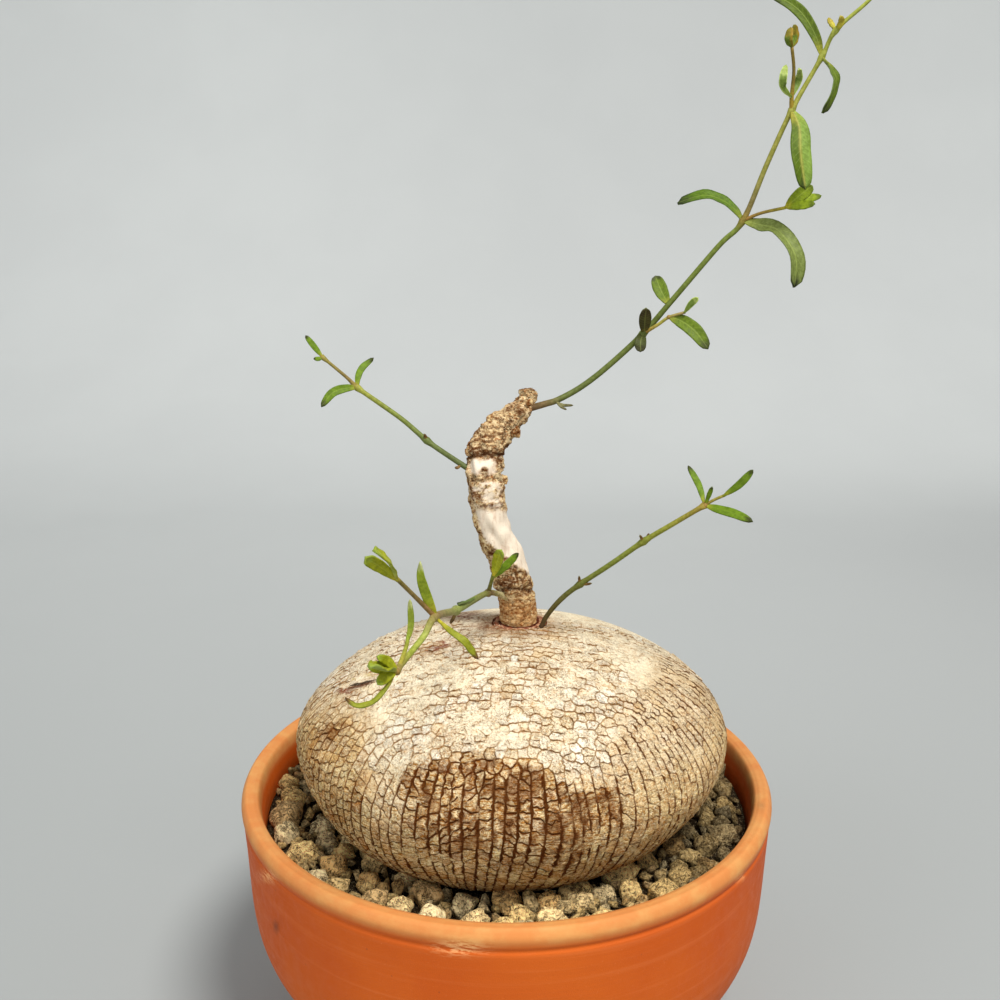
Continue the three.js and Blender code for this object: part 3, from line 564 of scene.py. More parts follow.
# Marks on the pot's front in the photograph, as (x, y, half width, half height, weight)
PALE_MARKS = [(461, 946.5, 22, 7.5, 1.3), (268.5, 876, 8.5, 6, 1), (740, 877, 4, 4, 1)]
DARK_MARKS = [(276, 926, 4, 4, 1), (761, 806, 4, 4, 1)]
MARK_SPREAD = 1.1**-0.5
# How far the lip is paler on top: rubbed, and a painted highlight from the light above
LIP_WEAR_AND_HIGHLIGHT = 0.8


def pot_outline():
    parts = [np.array(POT_FOOT)]
    for points, per_span in ((POT_OUTSIDE, 7), (POT_LIP, 6), (POT_INSIDE, 6)):
        line, _ = curve_points([(r, 0, z) for r, z in points], per_span)
        parts.append(line[:, [0, 2]])
    return np.concatenate(parts)


def pot_tints(points):
    """How far the clay is marked pale, holed dark, and paler at the lip, rubbed and with a painted highlight.
    """
    px = project(points)
    reach = np.hypot(points[:, 0], points[:, 1])
    outer = (reach > 70) & (points[:, 1] < 0)
    pale = np.clip(spots(px, PALE_MARKS, MARK_SPREAD) * outer, 0, 1)
    dark = np.clip(spots(px, DARK_MARKS, MARK_SPREAD) * outer, 0, 1)
    # the lip's top is paler: rubbed, and a painted highlight from above
    worn_and_lit = smooth(74, 77, points[:, 2]) * (reach > 69) * LIP_WEAR_AND_HIGHLIGHT
    return np.stack([pale, dark, worn_and_lit], 1)


def cut_drain_holes(obj):
    cutters = []
    for turn in turns(DRAIN_HOLES) + math.pi / 2:
        middle = (DRAIN_CIRCLE * math.cos(turn) * MM, DRAIN_CIRCLE * math.sin(turn) * MM, 0)
        bpy.ops.mesh.primitive_cylinder_add(
            vertices=40, radius=DRAIN_RADIUS * MM, depth=3 * POT_FLOOR * MM, location=middle
        )
        cutters.append(bpy.context.object)
        cut = obj.modifiers.new("drain", "BOOLEAN")
        cut.operation = "DIFFERENCE"
        cut.solver = "EXACT"
        cut.object = cutters[-1]
    bpy.context.view_layer.update()
    evaluated = obj.evaluated_get(bpy.context.evaluated_depsgraph_get())
    mesh = bpy.data.meshes.new_from_object(evaluated)
    mesh.name = obj.name
    obj.modifiers.clear()
    obj.data = mesh
    mesh.set_sharp_from_angle(angle=math.radians(50))
    for cutter in cutters:
        bpy.data.objects.remove(cutter)


def make_pot():
    outline = pot_outline()
    turn = turns(POT_SIDES)
    rings = []
    for r, z in outline:
        # a hand-thrown wall is a little uneven, but not at its foot and lip
        uneven = 0.12 * np.sin(2 * turn + 0.05 * z) + 0.05 * np.sin(5 * turn + 0.11 * z)
        uneven = uneven * smooth(76, 66, z)
        rings.append(ring_points(r + (uneven if 2 < z < 78 else 0), z, turn))
    # the foot and the floor are closed with a fan of triangles each
    points = np.vstack([*rings, [[0, 0, 0], [0, 0, POT_FLOOR]]])
    faces = grid_faces(len(outline), POT_SIDES)
    top = (len(outline) - 1) * POT_SIDES
    foot_middle = top + POT_SIDES
    for j in range(POT_SIDES):
        k = (j + 1) % POT_SIDES
        faces.append((foot_middle, k, j))
        faces.append((foot_middle + 1, top + j, top + k))
    pot = Build()
    pot.add(points, faces, pot_tints(points))
    cut_drain_holes(pot.piece("terracotta_pot", "pot", terracotta_look()))


# Grit
SOIL_LEVEL = 69.5
LEVEL_DROP = 2.5
BARE_RADIUS = 46
WALL_RADIUS = 69 - 0.7
GOLDEN_ANGLE = math.pi * (3 - math.sqrt(5))
GRAIN_CORNERS = 9
STONE_TRIES = 4200
GRAVEL_TRIES = 9000
GRAVEL_COUNT = 440
GRIT_COLOURS = [
    (230, 202, 146), (230, 198, 134), (214, 184, 126), (228, 208, 160), (220, 198, 150), (210, 172, 112),
    (232, 198, 132), (202, 170, 118),
]
SOIL_COLOUR = (58, 46, 32)
# The soil under the grit as (radius, height), from the pot's floor up its wall
SOIL_SIDES = 120
SOIL_OUTLINE = [
    (0.2, 8.35), (40.6, 8.35), (47.6, 13.3), (60.1, 31.3), (66.2, 46.3), (67.8, 60.3),
    (68.2, SOIL_LEVEL - 0.8),
]


def hull_planes(corners):
    """Outward unit normals and distances of the faces of a small convex hull round the origin."""
    normals = []
    distances = []
    for a, b, c in itertools.combinations(corners, 3):
        n = np.cross(b - a, c - a)
        length = np.linalg.norm(n)
        if length < 1e-9:
            continue
        n = n / length
        d = n.dot(a)
        if d < 0:
            n, d = -n, -d
        if np.all(corners @ n <= d + 1e-6):
            normals.append(n)
            distances.append(d)
    return np.array(normals), np.array(distances)


def turn_z(a):
    return np.array([[math.cos(a), -math.sin(a), 0], [math.sin(a), math.cos(a), 0], [0, 0, 1]])


def turn_x(a):
    return np.array([[1, 0, 0], [0, math.cos(a), -math.sin(a)], [0, math.sin(a), math.cos(a)]])


def grain_shape(corners, sphere, seed, crisp):
    """A craggy stone in the form of its corners' hull, and each point's painted shade in its pits and low
    parts.
    """
    normals, distances = hull_planes(corners)
    push = np.clip(sphere @ normals.T, 0, None) / distances
    reach = (push**crisp).sum(1) ** (-1 / crisp)
    offset = np.array([seed * 7.7, seed * 3.1, 0])
    rough = fbm(sphere * 2.6 + offset, seed, 4, 0.7)
    ridged = 1 - 4 * np.abs(fbm(sphere * 1.4 + offset + 3, seed + 80, 3, 0.6))
    pitted = smooth(0.06, 0.4, fbm(sphere * 4.6 + offset, seed + 40, 3, 0.65))
    reach = reach * (1.14 + 0.16 * rough + 0.07 * ridged - 0.13 * pitted)
    # the second value is painted shade, in the pits and the low parts of the rough surface
    return sphere * reach[:, None], np.clip(0.8 * pitted + 0.7 * smooth(0.0, -0.35, rough), 0, 1)


def soil_top(reach):
    """The soil falls away from the wall to the caudex."""
    return SOIL_LEVEL - LEVEL_DROP * (WALL_RADIUS - reach) / (WALL_RADIUS - BARE_RADIUS)


def spread_place(farthest, draw):
    """A place drawn evenly from the ring between the caudex and farthest: distance, x and y."""
    reach = math.sqrt(BARE_RADIUS**2 + (farthest**2 - BARE_RADIUS**2) * draw())
    turn = draw() * TAU
    return reach, reach * math.cos(turn), reach * math.sin(turn)


def grain_tints(x, y, pitted, bright, vary, rng):
    """A grain's colour with painted light and shade: lifted overall and in front, darker in its pits and on the
    right.
    """
    # bright and vary lift the colour as painted light, for the large stones past any stone's own
    colour = linear(GRIT_COLOURS[rng.randint(len(GRIT_COLOURS))]) * (bright + vary * rng.rand())
    # painted shade on the right and painted light in front
    painted_shade_and_light = (1 - 0.62 * smooth(26, 54, x) * smooth(-58, -34, y)) * (1 + 0.35 * smooth(-44, -60, y))
    colour = colour * painted_shade_and_light
    # painted shade in the pits and low parts
    return mix(colour, colour * 0.4, 0.8 * pitted)


def stone_places(random):
    """The solids' own stones, as (x, y, z, size)."""
    stones = []
    for _ in range(STONE_TRIES):
        size = 3.5 + 2.1 * random() ** 1.5
        reach, x, y = spread_place(WALL_RADIUS - 0.9 * size, random)
        if all(math.hypot(s[0] - x, s[1] - y) > 0.86 * (s[3] + size) for s in stones):
            stones.append((x, y, soil_top(reach) + 0.3 * size, size))
    return stones


def stone_corners(size, random):
    """Corners in a spiral from pole to pole, turned at random as in the solids."""
    corners = []
    for k in range(GRAIN_CORNERS):
        height = 1 - (2 * k + 1) / GRAIN_CORNERS
        turn = k * GOLDEN_ANGLE + 0.5 * random()
        flat = math.sqrt(1 - height * height)
        far = size * (0.8 + 0.32 * random())
        corners.append(np.array([flat * math.cos(turn), flat * math.sin(turn), height * 0.85]) * far)
    spin = turn_z(random() * TAU)
    tilt = turn_x((random() - 0.5) * 1.2)
    return np.array(corners) @ spin.T @ tilt.T


def add_gravel(build, stones, rng):
    """Fills the gaps between the stones with small grains."""
    ball, faces = icosphere(2)
    placed = [(x, y, size * 0.8) for x, y, _, size in stones]
    made = 0
    for _ in range(GRAVEL_TRIES):
        size = 1.4 + 2.0 * rng.rand() ** 1.2
        reach, x, y = spread_place(WALL_RADIUS - size, rng.rand)
        free = all(math.hypot(g[0] - x, g[1] - y) > 0.7 * (g[2] + size) for g in placed)
        if free and made < GRAVEL_COUNT:
            made += 1
            placed.append((x, y, size))
            corners = rng.normal(size=(GRAIN_CORNERS, 3))
            corners = unit(corners) * size * (0.75 + 0.4 * rng.rand(GRAIN_CORNERS, 1))
            corners = corners - corners.mean(0)
            shape, pitted = grain_shape(corners, ball, 200 + made, 24)
            shape = np.clip(shape, -1.4 * size, 1.4 * size)
            tints = grain_tints(x, y, pitted, 0.9, 0.45, rng)
            middle = (x, y, soil_top(reach) + 0.3 * size + 1.2 * rng.rand())
            build.add(shape + middle, faces, tints)


def add_soil(build):
    """The soil that the stones lie in."""
    top = [(r, soil_top(r) - 0.2) for r in np.linspace(66.5, 30, 26)]
    outline = SOIL_OUTLINE + top + [(0.2, soil_top(BARE_RADIUS) - 8)]
    points = np.concatenate([ring_points(r, z, turns(SOIL_SIDES)) for r, z in outline])
    surface = points[:, 2] > 60
    points[surface, 2] += (0.9 * fbm(points * 0.45, 3, 4, 0.6))[surface]
    build.add(points, tube_faces(len(outline), SOIL_SIDES), linear(SOIL_COLOUR))


def make_grit():
    random = Lcg(7)
    rng = np.random.RandomState(8)
    look = grit_look()
    stones = stone_places(random)
    ball, faces = icosphere(3)
    large = Build()
    for index, (x, y, z, size) in enumerate(stones):
        shape, pitted = grain_shape(stone_corners(size, random), ball, index + 1, 40)
        # the large stones are lifted past any stone's own colour, as painted light in the pot's shade
        large.add(shape + (x, y, z), faces, grain_tints(x, y, pitted, 1.65, 0.35, rng))
    large.piece("grit_stones", "soil", look)
    small = Build()
    add_gravel(small, stones, rng)
    add_soil(small)
    small.piece("grit_and_soil", "soil", look)


# Caudex
CAUDEX_X = 1.9
CAUDEX_Z = 92.9
CAUDEX_RADIUS = 60.0
CAUDEX_ABOVE = 28.8
CAUDEX_BELOW = 38.5
CAUDEX_POWER = 1.08
CAUDEX_LEAN = 3.2
CAUDEX_LUMP = 0.6
TRUNK_FOOT = (3.6, 7, 121)
# Bark: size of the flakes on top, columns of plates down the sides, and where each gives way to the next
FLAKE = 2.7
COLUMNS = 122
COLUMN_PLATE = 2.6
COLUMN_SQUEEZE = 0.46
COLUMN_TOP = 106.0
HIDDEN_HEIGHT = 66.0
HIDDEN_PLATE = 9.0
# Sizes over which the side of a plate gets one and two more points
ONE_MORE, TWO_MORE = 0.7, 1.7


def caudex_point(theta, phi, out=0.0):
    """The solid's own surface at polar angle theta and turn phi, moved out by out."""
    sine, cosine = np.sin(theta), np.cos(theta)
    lump = CAUDEX_LUMP * sine * sine * (np.sin(2 * phi + 0.6) + 0.7 * np.sin(5 * phi + 3 * theta))
    radius = (CAUDEX_RADIUS + lump + out) * np.abs(sine) ** CAUDEX_POWER
    half = np.where(cosine > 0, CAUDEX_ABOVE, CAUDEX_BELOW) + out
    height = np.sign(cosine) * half * np.abs(cosine) ** CAUDEX_POWER
    drift = np.where(height < 0, CAUDEX_LEAN * height / CAUDEX_BELOW, 0)
    return np.stack([CAUDEX_X + drift + radius * np.cos(phi), radius * np.sin(phi), CAUDEX_Z + height], -1)


def caudex_out(theta, phi):
    return unit(caudex_point(theta, phi, 1.0) - caudex_point(theta, phi))


class Meridian:
    """The body's outline from pole to pole, and the ball angle that lets a net on a ball fit the body.

    The ball keeps shapes true on top. On the sides it squeezes heights, which makes the columns straight."""

    def __init__(self):
        self.theta = np.linspace(0.004, math.pi - 0.004, 9000)
        cosine = np.cos(self.theta)
        self.radius = CAUDEX_RADIUS * np.sin(self.theta) ** CAUDEX_POWER
        half = np.where(cosine > 0, CAUDEX_ABOVE, CAUDEX_BELOW)
        self.height = CAUDEX_Z + np.sign(cosine) * half * np.abs(cosine) ** CAUDEX_POWER
        step = np.hypot(np.diff(self.radius), np.diff(self.height))
        self.arc = np.concatenate([[0], np.cumsum(step)])
        squeeze = 1 - (1 - COLUMN_SQUEEZE) * smooth(COLUMN_TOP + 3, COLUMN_TOP - 3, self.height[1:])
        stretch = np.concatenate([[0], np.cumsum(squeeze * step * 2 / (self.radius[1:] + self.radius[:-1]))])
        stretch -= np.interp(math.pi / 2, self.theta, stretch)
        self.ball = 2 * np.arctan(np.exp(stretch))
        self.down = -self.height

    def at(self, value, given, wanted):
        """Looks up one of the outline's measures by another, which has to rise from pole to pole."""
        return np.interp(value, getattr(self, given), getattr(self, wanted))

    def on_top(self, radius, wanted):
        """The same by radius, on the upper half."""
        upper = len(self.theta) // 2
        return np.interp(radius, self.radius[:upper], getattr(self, wanted)[:upper])

    def column_start(self, turn):
        """Arc at which the columns begin: higher up on the right than in front."""
        right = smooth(0.1, 0.9, np.cos(turn))
        left = smooth(0.3, 0.9, -np.cos(turn))
        return self.at(-(COLUMN_TOP - 1 + 8 * right + 2 * left), "down", "arc")


def row_seeds(meridian, rng):
    """Loose rows of flakes that run across the top from left to right."""
    seeds = []
    edge_arc = meridian.at(-COLUMN_TOP + 1, "down", "arc")
    edge_radius = meridian.at(edge_arc, "arc", "radius")
    rows = math.floor(2 * edge_arc / (0.94 * FLAKE))
    phase = 0.0
    for k in range(rows):
        along = (k + 0.5) * 2 * edge_arc / rows - edge_arc
        y = math.copysign(meridian.at(abs(along), "arc", "radius"), along)
        half = math.sqrt(max(edge_radius**2 - y * y, 0))
        x = np.linspace(-half, half, 401)
        top = meridian.on_top(np.hypot(x, y), "height")
        run = np.concatenate([[0], np.cumsum(np.hypot(np.diff(x), np.diff(top)))])
        run -= run[len(run) // 2]
        phase += 0.5 * (rng.rand() - 0.5)
        for j in range(math.ceil(run[0] / FLAKE) - 1, math.floor(run[-1] / FLAKE) + 2):
            at = FLAKE * (j + phase + 0.56 * (rng.rand() - 0.5))
            seed_x = np.interp(at, run, x)
            seed_y = y + 0.62 * FLAKE * (rng.rand() - 0.5)
            arc = meridian.on_top(math.hypot(seed_x, seed_y), "arc")
            turn = math.atan2(seed_y, seed_x)
            if run[0] < at < run[-1] and arc < meridian.column_start(turn) and rng.rand() > 0.05:
                seeds.append((arc, turn))
    return seeds


def column_seeds(meridian, rng):
    """Columns of plates down the sides, of uneven width and a little bent."""
    seeds = []
    hidden = meridian.at(-HIDDEN_HEIGHT, "down", "arc")
    widths = 0.7 + 0.6 * rng.rand(COLUMNS)
    columns = (np.cumsum(widths) - widths / 2) * COLUMNS / widths.sum()
    for column in columns:
        start = meridian.column_start(column * TAU / COLUMNS)
        at = start + COLUMN_PLATE * (0.3 + 0.5 * rng.rand())
        off = 0.2 * (2 * rng.rand() - 1)
        while at < hidden:
            bend = 0.4 * math.sin(0.07 * at + 2.3 * math.sin(0.29 * column) + 1.7 * math.sin(0.09 * column))
            if rng.rand() > 0.04:
                seeds.append((at, (column + off + bend + 0.04 * (2 * rng.rand() - 1)) * TAU / COLUMNS))
            at += COLUMN_PLATE * (0.6 + 0.75 * rng.rand())
    return seeds


def hidden_seeds(meridian, rng):
    """Large plates under the grit, where nothing shows."""
    seeds = []
    at = meridian.at(-HIDDEN_HEIGHT, "down", "arc") + HIDDEN_PLATE / 2
    while at < meridian.arc[-1] - 2:
        count = max(4, round(TAU * float(meridian.at(at, "arc", "radius")) / HIDDEN_PLATE))
        seeds.extend((at, (k + 0.3 * rng.rand()) * TAU / count) for k in range(count))
        at += HIDDEN_PLATE
    return seeds


def net_between(seeds):
    """Corners of the net between seeds on the unit ball, and each seed's ring of (corner, next seed)."""
    bm = bmesh.new()
    verts = [bm.verts.new(s) for s in seeds]
    index = {v: i for i, v in enumerate(verts)}
    bmesh.ops.convex_hull(bm, input=verts, use_existing_faces=False)
    bmesh.ops.triangulate(bm, faces=bm.faces[:])
    corners = []
    links = [{} for _ in seeds]
    for face in bm.faces:
        a, b, c = (index[v] for v in face.verts)
        normal = np.cross(seeds[b] - seeds[a], seeds[c] - seeds[a])
        if normal.dot(seeds[a]) < 0:
            b, c = c, b
            normal = -normal
        for here, left, right in ((a, b, c), (b, c, a), (c, a, b)):
            links[here][left] = (len(corners), right)
        corners.append(normal / np.linalg.norm(normal))
    bm.free()
    rings = []
    for link in links:
        ring = []
        at = next(iter(link), None)
        while at in link and len(ring) < len(link):
            corner, at = link[at]
            ring.append((corner, at))
        rings.append(ring)
    return np.array(corners), rings


# Places in the photograph, as (x, y, half width, half height, weight)
SMOOTH_PLACES = [
    (590, 624, 46, 12, 1.2), (642, 652, 30, 14, 1.1), (650, 674, 18, 14, 1.0), (508, 742, 20, 10, 1.1),
    (372, 716, 44, 20, 0.8), (430, 640, 40, 14, 0.4),
]
BROWN_PLACES = [
    (472, 776, 52, 17, 1.3), (526, 793, 46, 18, 1.2), (446, 812, 50, 36, 0.85), (532, 840, 98, 34, 0.8),
    (590, 816, 34, 16, 0.7), (430, 782, 26, 16, 0.7), (610, 800, 26, 12, 0.6), (336, 728, 20, 13, 0.75),
    (316, 762, 14, 28, 0.6), (352, 800, 20, 24, 0.5),
]
SCARS = [(463, 615, 24, 5, 0.9), (494, 626, 24, 6, 0.8), (345, 691, 8, 3, 1)]
SLANTED_SCAR = (440, 646, 13, 4.5, 1)
SCAR_SLANT = 0.36
# Painted shadow in the recess under the lifted flake's edge, and where it lies
FLAKE_SHADOW = (361, 685.28, 17, 2, 1)
FLAKE_SHADOW_SLANT = 0.28


def regions(points):
    """What the bark is like at points, each from 0 to 1. The front follows the photograph, the back noise."""
    px = project(points)
    warp = 16 * np.stack([fbm(points * 0.13, 21, 4, 0.65), fbm(points * 0.13 + 50, 22, 4, 0.65)], 1)
    px = px + warp
    front = smooth(25, -10, points[:, 1])
    height = points[:, 2] + 0.3 * warp[:, 0]
    smooth_front = np.clip(spots(px, SMOOTH_PLACES), 0, 1)
    smooth_back = smooth(0.12, 0.3, fbm(points * 0.035 + 9, 29, 3)) * smooth(96, 104, height)
    brown_front = smooth(0.2, 0.85, spots(px, BROWN_PLACES))
    brown_back = smooth(0.1, 0.3, fbm(points * 0.04 + 5, 23, 4, 0.6)) * smooth(100, 90, height)
    brown = brown_front * front + brown_back * (1 - front)
    return SimpleNamespace(
        smooth=smooth_front * front + smooth_back * (1 - front),
        brown=brown,
        low=smooth(98, 76, height),
        sides=np.maximum(smooth(107, 95, height), brown),
        right=smooth(-8, 26, 0.9 * (px[:, 0] - 624) + 0.5 * (px[:, 1] - 700)) * front,
        left=smooth(400, 335, px[:, 0]) * smooth(670, 740, px[:, 1]) * front,
    )


def crack_strength(place, middle, facing, level, draw):
    """How open a crack is.

    It depends on how far the crack faces the viewer, how level it runs (each 0 to 1) and a random draw."""
    chance = draw - 0.5
    field = fbm(middle * 0.13, 31, 3, 0.6)
    upper = (0.5 + 0.5 * facing) * smooth(-0.32, 0.16, field + 0.7 * chance)
    broken = smooth(-0.35, 0.15, fbm(middle * 0.3 + 5, 33, 3, 0.6) + 0.5 * chance)
    lower = level * (0.3 + 0.6 * smooth(-0.3, 0.3, field + 0.8 * chance)) + (1 - level) * (0.3 + 0.7 * broken)
    strength = upper * (1 - place.sides) + lower * place.sides
    strength = strength * (1 + 0.25 * place.brown)
    along = (1 - level) * (0.3 + 0.75 * broken) + level * 0.5 * draw * draw
    strength = strength * (1 - place.right) + along * place.right
    strength = np.maximum(strength, place.left * (0.4 + 0.5 * draw))
    return np.clip(strength * (1 - 0.93 * place.smooth), 0, 1)


def lay_plates(meridian, rng):
    """The plates' middles, with the ways out, down and over, which is the way that the bark's flakes overlap.

    They overlap towards the viewer in front, and down the sides behind."""
    seeds = row_seeds(meridian, rng) + column_seeds(meridian, rng) + hidden_seeds(meridian, rng)
    arc, turn = np.array(seeds).T
    polar = meridian.at(arc, "arc", "ball")
    flat = np.sin(polar)
    theta = meridian.at(arc, "arc", "theta")
    middle = caudex_point(theta, turn)
    out = caudex_out(theta, turn)
    south = unit(caudex_point(theta + 0.01, turn) - caudex_point(theta - 0.01, turn))
    ahead = np.array([0, -1, -0.35])
    ahead = unit(ahead - out * (out @ ahead)[:, None])
    return SimpleNamespace(
        turn=turn,
        ball=np.stack([flat * np.cos(turn), flat * np.sin(turn), np.cos(polar)], 1),
        middle=middle,
        out=out,
        south=south,
        over=unit(mix(south, ahead, smooth(25, -5, middle[:, 1]))),
        place=regions(middle),
    )


def measure_cracks(rings, plates, rng):
    """For each pair of plates that meet: their distance, how level the crack runs and how open it is."""
    pairs = sorted({(min(s, t), max(s, t)) for s, ring in enumerate(rings) for _, t in ring})
    first, second = np.array(pairs).T
    apart = plates.middle[second] - plates.middle[first]
    length = np.linalg.norm(apart, axis=1)
    facing = smooth(0.35, 0.85, np.abs((apart * plates.over[first]).sum(1)) / length)
    level = smooth(0.35, 0.85, np.abs((apart * plates.south[first]).sum(1)) / length)
    between = (plates.middle[first] + plates.middle[second]) / 2
    openness = crack_strength(regions(between), between, facing, level, rng.rand(len(pairs)))
    return dict(zip(pairs, zip(length, level, openness)))


def lay_net(corners, rings, plates, cracks, rng):
    """The net's points on the ball, how open each is, and each plate's loop of them.

    The net's corners come first, then up to two points of each crack, bent a little."""
    directions = list(corners)
    sums = np.zeros(len(corners))
    met = np.zeros(len(corners))
    laid = {}
    loops = []
    for s, ring in enumerate(rings):
        loop = []
        for (corner, t), (onward, _) in zip(ring, ring[1:] + ring[:1]):
            pair = (min(s, t), max(s, t))
            length, level, openness = cracks[pair]
            loop.append(corner)
            sums[corner] += openness
            met[corner] += 1
            if pair not in laid:
                p, q = corners[corner], corners[onward]
                scale = length / np.linalg.norm(plates.ball[pair[0]] - plates.ball[pair[1]])
                size = np.linalg.norm(q - p) * scale
                steps = int(size >= ONE_MORE) + int(size >= TWO_MORE)
                side = np.cross(p + q, q - p) / 2
                bend = 0.2 - 0.12 * level
                found = []
                for part in np.arange(1, steps + 1) / (steps + 1):
                    found.append(len(directions))
                    directions.append(unit(p * (1 - part) + q * part + side * bend * (2 * rng.rand() - 1)))
                laid[pair] = (corner, found)
            start, found = laid[pair]
            loop.extend(found if start == corner else found[::-1])
        loops.append(loop)
    hold = np.concatenate([sums / np.maximum(met, 1), np.zeros(len(directions) - len(corners))])
    for pair, (_, found) in laid.items():
        openness = cracks[pair][2]
        hold[found] = np.clip(openness * (0.45 + 0.9 * rng.rand(len(found))), 0, 1)
    return np.array(directions), hold, loops


def plate_colours(plates, rng):
    """A colour for each plate, from what the bark is like there and how far the plate stands clear (kept)."""
    place = plates.place
    draw = rng.rand(len(plates.middle), 3)
    field = fbm01(plates.middle * 0.09, 35, 3)
    cream = ramp((244, 228, 194), (255, 252, 236), draw[:, 0])
    honey = smooth(0.4, 0.8, field) * 0.35 + 0.35 * draw[:, 1] ** 3
    cream = coat(cream, (224, 194, 142), np.clip(honey, 0, 1))
    calm = ramp((244, 228, 192), (252, 242, 216), field)
    cream = mix(calm, cream, smooth(0.1, 0.5, plates.kept))
    cream = coat(cream, (242, 212, 150), 0.4 * place.sides + 0.4 * place.low)
    cream = coat(cream, (218, 182, 120), 0.45 * place.right)
    cream = coat(cream, (220, 182, 120), place.left * (0.4 + 0.6 * draw[:, 2]))
    tan = ramp((214, 166, 92), (255, 244, 184), draw[:, 1] ** 0.8)
    brown = ramp((190, 144, 84), (244, 214, 152), draw[:, 2])
    low = place.low * (0.3 + 0.6 * draw[:, 2])
    colour = mix(cream, tan, np.clip(0.25 * place.sides + low + 0.35 * place.left * draw[:, 0], 0, 1))
    dirty = 0.7 * place.brown * np.where(draw[:, 0] < 0.3, 0.05, 0.2 + 0.8 * draw[:, 1])
    return mix(colour, brown, np.clip(dirty, 0, 1))


def bark_place(points, turn, place):
    """What the bark's material reads: distance round, distance down, and how much the plates are lined.

    The last is below 0 where the bark is smooth."""
    lined = np.clip(0.4 * place.sides + 0.5 * place.low + 0.6 * place.brown, 0, 1) - place.smooth
    return np.stack([turn * CAUDEX_RADIUS, -1.3 * points[:, 2], np.full(len(points), lined)], 1)


def dress_net(meridian, directions, hold, loops, plates, rng):
    """The net on the caudex, sunk where it's open.

    It has the colour of the plates round each point (shared), darkened to the crack's bottom (tint)."""
    theta = meridian.at(np.arccos(np.clip(directions[:, 2], -1, 1)), "ball", "theta")
    turn = np.arctan2(directions[:, 1], directions[:, 0])
    rim = caudex_point(theta, turn)
    out = caudex_out(theta, turn)
    shared = np.zeros((len(rim), 3))
    share = np.zeros(len(rim))
    for s, loop in enumerate(loops):
        shared[loop] += plates.colour[s]
        share[loop] += 1
    shared /= np.maximum(share, 1)[:, None]
    place = regions(rim)
    low, brown = place.low, place.brown
    dark = np.clip(0.75 * place.sides + 0.3 * low + brown + place.right, 0, 1)
    bottom = ramp((178, 136, 78), (114, 68, 28), dark)
    bottom = coat(bottom, (94, 50, 20), 0.8 * low)
    depth = hold * (0.05 + 0.03 * place.sides + 0.06 * brown + 0.06 * low)
    points = rim - out * depth[:, None]
    return SimpleNamespace(
        rim=rim,
        out=out,
        hold=hold,
        points=points,
        shared=shared,
        tint=mix(shared, bottom, smooth(0.05, 0.4, hold)),
        place=bark_place(points, turn, place),
        uneven=0.5 + rng.rand(len(rim)),
    )


def raise_plate(plates, net, s, loop, rng):
    """Points, tints and places of one plate: its edge, its shoulder, a ring halfway in, and its middle."""
    k = len(loop)
    here = SimpleNamespace(**{key: value[s] for key, value in vars(plates.place).items()})
    middle, out, south, kept = plates.middle[s], plates.out[s], plates.south[s], plates.kept[s]
    b, w = net.rim[loop], net.hold[loop]
    inward = middle - b
    reach = np.linalg.norm(inward, axis=1)
    inward = inward / reach[:, None]
    up = unit(net.out[loop] + out)
    downhill = -inward @ plates.over[s]
    across = (1 - np.abs(inward @ south)) ** 1.5
    shingle = 1 - here.sides
    wide = here.sides * (0.06 + 0.34 * here.brown + 0.42 * here.low) * across
    wide = wide + 0.1 * here.right * across
    gap = np.minimum(0.06 + w * (0.1 + wide) * net.uneven[loop], 0.38 * reach)
    tilt = unit(rng.normal(size=3)) * 0.3 * rng.rand()
    lift = shingle * (0.05 + 0.3 * rng.rand()) * np.clip(downhill, -0.2, 1) + inward @ tilt
    lift = np.clip(lift + 0.14, 0.03, 0.6)
    crown = 0.1 + 0.08 * here.sides
    height = kept * 0.25 * (rng.rand() - 0.5)
    step = np.minimum(0.26, 0.2 * reach)
    half = gap + step + 0.5 * (reach - gap - step)
    rise = 0.5 * (reach - gap) ** 2 / 45
    bumps = 0.18 * (rng.rand(k) - 0.5) * kept
    shoulder = w * (lift + crown) + 0.1 * rise + height * 0.5
    inner = 0.4 * w * lift + crown * kept + 0.12 * rise + height + bumps
    levels = ((gap, w * lift), (gap + step, shoulder), (half, inner))
    rings = [b + inward * far[:, None] + up * high[:, None] for far, high in levels]
    centre = middle + out * (height + (crown + 0.1 * rng.rand()) * kept)
    points = np.concatenate([*rings, centre[None]])

    edge_tint = mix(plates.colour[s], net.shared[loop], 1 - smooth(0.1, 0.6, w))
    seep = 0.45 * here.brown + (0.3 * here.brown + 0.5 * here.low + 0.3 * here.right) * across
    edge = mix(edge_tint, net.tint[loop], np.clip(0.66 + seep, 0, 1) * smooth(0.05, 0.4, w))
    shadow = np.clip(downhill, 0, 1) ** 1.5 * smooth(0.15, 0.6, w) * 0.55 * shingle
    edge = coat(edge, (142, 98, 50), shadow)
    shoulder_tint = mix(edge_tint, net.tint[loop], np.clip(0.8 * seep * rng.rand(), 0, 0.7))
    tints = np.concatenate([edge, shoulder_tint, np.tile(plates.colour[s], (k + 1, 1))])
    turn = np.arctan2(points[:, 1], points[:, 0] - CAUDEX_X)
    turn = plates.turn[s] + (turn - plates.turn[s] + math.pi) % TAU - math.pi
    return points, tints, bark_place(points, turn, here)


